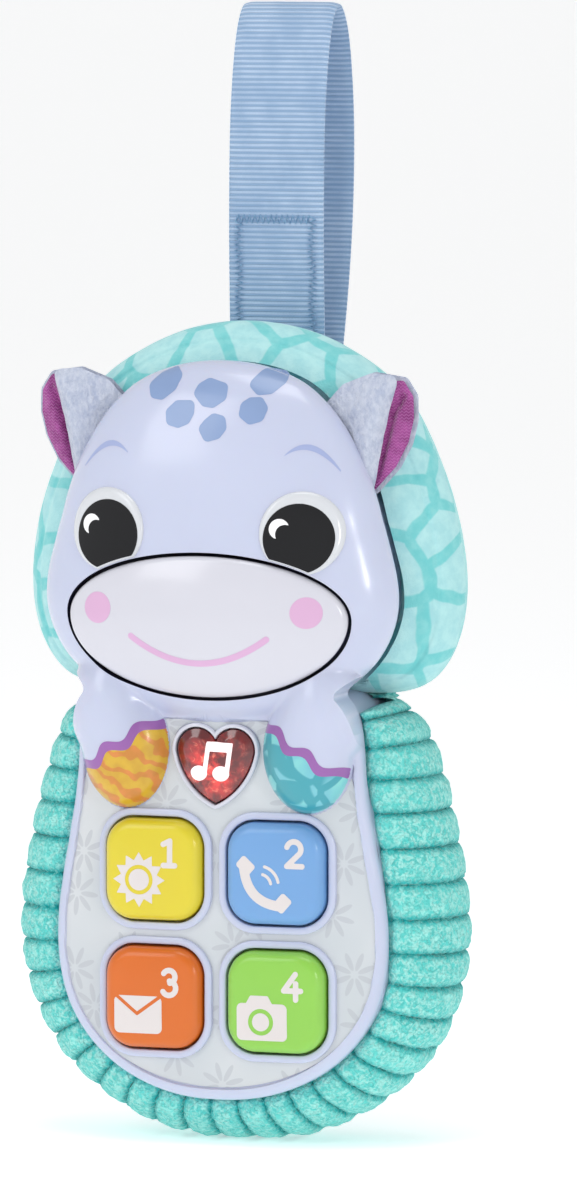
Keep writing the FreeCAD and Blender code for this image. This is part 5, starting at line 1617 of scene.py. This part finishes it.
def tape(name, width, thickness, offset, start, end, material, slot, node, ribs=0.0, columns=30, tuft=0.0):
    """A flat tape along the strap's route, between two shares of its length."""
    place, heading, at = smooth_route(STRAP_ROUTE, TAPE_STEP)
    kept = (at >= start * at[-1] - 1e-6) & (at <= end * at[-1] + 1e-6)
    place, heading, at = place[kept], heading[kept], at[kept]
    side = np.stack([heading[:, 1], -heading[:, 0]], 1)
    u = np.linspace(-1, 1, columns)
    face = np.sign(u) * np.abs(u) ** 0.9 * width / 2
    thick = thickness / 2 * np.clip(1 - np.abs(u) ** 14, 0.25, 1)
    section = [(x, t) for x, t in zip(face, thick)] + [(x, -t) for x, t in zip(face[::-1], thick[::-1])]
    rings = []
    along, across = [], []
    for (y, z), (ny, nz), s in zip(place, side, at):
        ring = []
        for x, t in section:
            weave = ribs * math.sin(2 * math.pi * s / WEAVE_PITCH) * math.sin(2 * math.pi * x / WEAVE_GAUGE)
            up = offset + t + math.copysign(weave, t)
            edge = 0.07 * math.sin(math.pi * s / WEAVE_PITCH) * (abs(x) > width / 2 - 0.6)
            ring.append((x + math.copysign(edge, x), y + ny * up, z + nz * up))
            along.append(s)
            across.append(x)
        rings.append(ring)
    points, faces = loft(rings)
    if tuft:
        points = points + (rumple(points, 0.8, 6) * tuft)[:, None] * np.array([0, 1.0, 0.2])
    piece = make_piece(name, points, faces, material, "phone", node, slot, sharp=50)
    keep(piece, "along", along)
    keep(piece, "across", across)
    return piece, float(at[-1] - at[0])


def thread_finish():
    """Twisted sewing thread, a shade darker than the webbing."""
    finish = Finish("strap_thread", tone(112, 154, 190), 0.6, Sheen_Weight=0.3)
    twist = finish.ramp(finish.noise(0.5, 2.0, 0.5, finish.stretched(1.0, 1.0, 0.5)), 0.35, 0.65)
    finish.colour(finish.mix(twist, tone(98, 140, 178), tone(132, 172, 204)))
    finish.bump(twist, 0.05)
    return finish.material


def make_stitching():
    """A zigzag seam in a U on the front of the strap, where its sewn end stops."""
    top, low, half = SEAM_TOP, SEAM_LOW, SEAM_HALF
    place = smooth_route(STRAP_ROUTE, TAPE_STEP)[0]
    rising = slice(0, int(np.argmax(place[:, 1])))
    route = []
    for a, b in (((-half, low), (-half, top)), ((-half, top), (half, top)), ((half, top), (half, low))):
        run = math.dist(a, b)
        steps = int(run / (ZIGZAG_PITCH / 2))
        for k in range(steps):
            share = k / steps
            x, z = a[0] + (b[0] - a[0]) * share, a[1] + (b[1] - a[1]) * share
            across = ZIGZAG_SWING * (1 if k % 2 else -1)
            dx, dz = (b[1] - a[1]) / run * across, -(b[0] - a[0]) / run * across
            route.append((x + dx, z + dz))
    route = np.array(route)
    y = np.interp(route[:, 1], place[rising, 1], place[rising, 0]) - STRAP_THICKNESS / 2 - 0.12
    line = np.stack([route[:, 0], y, route[:, 1]], 1)
    heading = np.gradient(line, axis=0)
    heading /= np.linalg.norm(heading, axis=1)[:, None]
    out = np.array([0.0, -1.0, 0.0])
    aside = np.cross(heading, out)
    aside /= np.linalg.norm(aside, axis=1)[:, None]
    turn = full_turn(8)
    rings = [[p + 0.3 * (math.cos(t) * a + 0.8 * math.sin(t) * out) for t in turn] for p, a in zip(line, aside)]
    points, faces = loft(rings)
    return make_piece("strap_stitching", points, faces, thread_finish(), "phone", slot="webbing", sharp=60)


def make_strap():
    """The webbing loop with its sewn zigzag, and the hook and loop tapes at its root."""
    webbing = webbing_cloth("strap_webbing", tone(178, 200, 226), tone(118, 152, 190), 1.05)
    strap, length = tape("strap_tape", STRAP_WIDTH, STRAP_THICKNESS, 0.0, 0.0, 1.0, webbing, "webbing", "strap",
                         ribs=0.06)
    stitching = make_stitching()
    hooks = webbing_cloth("hook_tape", tone(176, 198, 222), tone(140, 166, 196), 0.6)
    offset = STRAP_THICKNESS / 2 + 0.03 + PATCH_THICKNESS / 2
    patches = (("hook_tape", "hook_patch", 0.03, 0.24), ("loop_tape", "loop_patch", 0.84, 0.985))
    for name, node, start, end in patches:
        tape(name, PATCH_WIDTH, PATCH_THICKNESS, offset, start, end, hooks, "hook", node, tuft=0.12)


# ------------------------------------------------------------------ finishes of the CAD pieces

def metal(name, colour, roughness=0.3):
    finish = Finish(name, colour, roughness, Metallic=1.0)
    brushed = finish.ramp(finish.noise(0.6, 3.0, 0.6, finish.stretched(1.0, 0.2, 1.0)), 0.3, 0.7,
                          roughness * 0.7, roughness * 1.5)
    finish.give(Roughness=brushed)
    finish.bump(finish.noise(0.3, 3.0), 0.01)
    return finish.material


def foam_finish():
    finish = Finish("black_foam", tone(46, 46, 50), 0.95)
    pore = finish.cells(0.8)
    # the pores are painted darker in their hollows: painted shade
    finish.colour(finish.mix(pore, tone(28, 28, 32), tone(66, 66, 70)))
    finish.bump(pore, 0.3)
    return finish.material


def board_finish():
    finish = Finish("green_board", tone(20, 96, 54), 0.35)
    track = finish.ramp(finish.cells(3.2, "DISTANCE_TO_EDGE", randomness=0.4), 0.05, 0.07)
    finish.colour(finish.mix(track, tone(44, 130, 76), tone(18, 84, 48)))
    finish.bump(track, 0.03)
    return finish.material


def battery_finish():
    finish = Finish("battery_wrap", tone(70, 76, 84), 0.35, Metallic=0.3)
    x = finish.parts()[0]
    band = finish.ramp(x, 0.010, 0.0105)
    scuff = finish.ramp(finish.noise(3.0, 4.0), 0.4, 0.7)
    wrap = finish.mix(band, tone(64, 70, 80), tone(176, 132, 70))
    finish.colour(finish.mix(finish.times(scuff, 0.15), wrap, tone(150, 150, 150)))
    finish.bump(finish.noise(0.5, 2.0), 0.01)
    return finish.material


def dress_cad_nodes():
    """Gives each CAD piece that stays in view its own finish."""
    steel = metal("steel", tone(176, 178, 184))
    spring = metal("spring_steel", tone(196, 190, 176), 0.25)
    black = plastic("chip_black", tone(34, 34, 38), 0.5, coat=0.0).material
    finishes = {
        "rear_housing": lavender,
        "battery_door": plastic("door_plastic", tone(204, 208, 233), 0.34, 0.2).material,
        "power_switch": plastic("switch_knob", tone(150, 122, 186), 0.35).material,
        "faceplate_film": film_print(),
        "circuit_board": board_finish(),
        "board_components": black,
        "heart_lamp": plastic("lamp_lens", tone(240, 226, 214), 0.1, coat=1.0).material,
        "keypad_rubber": plastic("keypad_rubber", tone(196, 196, 204), 0.6, coat=0.0).material,
        "speaker": metal("speaker_frame", tone(120, 120, 126), 0.4),
        "speaker_foam": foam_finish(),
        "speaker_leads": plastic("lead_cover", tone(176, 40, 38), 0.45).material,
        "batteries": battery_finish(),
        "battery_contacts": spring,
        "battery_springs": spring,
        "battery_door_screw": steel,
        "housing_screws": steel,
        "switch_case": black,
    }
    for name, material in finishes.items():
        cover(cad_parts[name].data, material)


# ------------------------------------------------------------------ stage, light and camera

VIEW_AZIMUTH = 20.0
VIEW_ELEVATION = 4.4
VIEW_DISTANCE = 2.0
VIEW_LENS = 300.0
VIEW_TARGET = Vector((4.9, 10.5, 106.7)) * MM


def make_camera():
    camera = added("camera", bpy.data.cameras.new("camera"))
    azimuth, elevation = math.radians(VIEW_AZIMUTH), math.radians(VIEW_ELEVATION)
    back = Vector((math.sin(azimuth) * math.cos(elevation), -math.cos(azimuth) * math.cos(elevation),
                   math.sin(elevation)))
    camera.location = VIEW_TARGET + back * VIEW_DISTANCE
    camera.rotation_mode = "QUATERNION"
    camera.rotation_quaternion = (-back).to_track_quat("-Z", "Y")
    camera.data.lens = VIEW_LENS
    camera.data.sensor_width = 36.0
    camera.data.clip_start = 0.05
    camera.data.clip_end = 100.0
    bpy.context.scene.camera = camera


WHITE = (1.0, 1.0, 1.0, 1.0)
FLOOR_HALF = 60.0
FLOOR_GLOW = 0.37
SKY_FADE = {"From Min": 0.12, "From Max": 0.4, "To Min": 0.98, "To Max": 0.55}
LIGHT_AIM = (0.0, 0.0, 0.11)
# each light's place and size in metres, and its power
LIGHTS = {
    "soft_key": ((-0.55, -0.9, 0.75), (0.45, 0.7), 2.7),
    "strip": ((0.75, -0.55, 0.25), (0.09, 0.16), 0.9),
    "top": ((0.1, -0.15, 1.0), (0.6, 0.4), 2.4),
}


def make_light(name, place, size, power):
    light = bpy.data.lights.new(name, "AREA")
    light.shape = "RECTANGLE"
    light.size, light.size_y = size
    light.energy = power
    lamp = added(name, light)
    lamp.location = place
    lamp.rotation_mode = "QUATERNION"
    lamp.rotation_quaternion = (Vector(LIGHT_AIM) - Vector(place)).to_track_quat("-Z", "Y")


def make_floor():
    """A broad pale floor that glows a little, so that it runs into the backdrop."""
    mesh = bpy.data.meshes.new("floor")
    corners = [(-1, -1), (1, -1), (1, 1), (-1, 1)]
    mesh.from_pydata([(x * FLOOR_HALF, y * FLOOR_HALF, 0) for x, y in corners], [], [(0, 1, 2, 3)])
    floor = added("floor", mesh)
    pale = Finish("pale_floor", tone(250, 251, 252), 0.7, Specular_IOR_Level=0.1, Emission_Color=WHITE,
                  Emission_Strength=FLOOR_GLOW)
    cover(mesh, pale.material)


def make_sky():
    """An even white studio, brightest at the horizon."""
    world = bpy.data.worlds.new("studio")
    bpy.context.scene.world = world
    world.use_nodes = True
    tree = world.node_tree
    background = tree.nodes["Background"]
    background.inputs["Color"].default_value = WHITE
    ray = tree.nodes.new("ShaderNodeTexCoord").outputs["Generated"]
    height = tree.nodes.new("ShaderNodeSeparateXYZ")
    fade = tree.nodes.new("ShaderNodeMapRange")
    fade.interpolation_type = "SMOOTHSTEP"
    for key, number in SKY_FADE.items():
        fade.inputs[key].default_value = number
    tree.links.new(ray, height.inputs[0])
    tree.links.new(height.outputs["Z"], fade.inputs["Value"])
    tree.links.new(fade.outputs[0], background.inputs["Strength"])


def make_stage():
    make_floor()
    make_sky()
    for name, (place, size, power) in LIGHTS.items():
        make_light(name, place, size, power)
    bpy.context.scene.view_settings.view_transform = "Standard"


# ------------------------------------------------------------------ everything

make_camera()
make_stage()
make_front_housing()
make_eyes()
make_head_prints()
make_snout()
make_hands()
make_heart()
make_keys()
make_plush_body()
make_hood()
make_ears()
make_strap()
dress_cad_nodes()
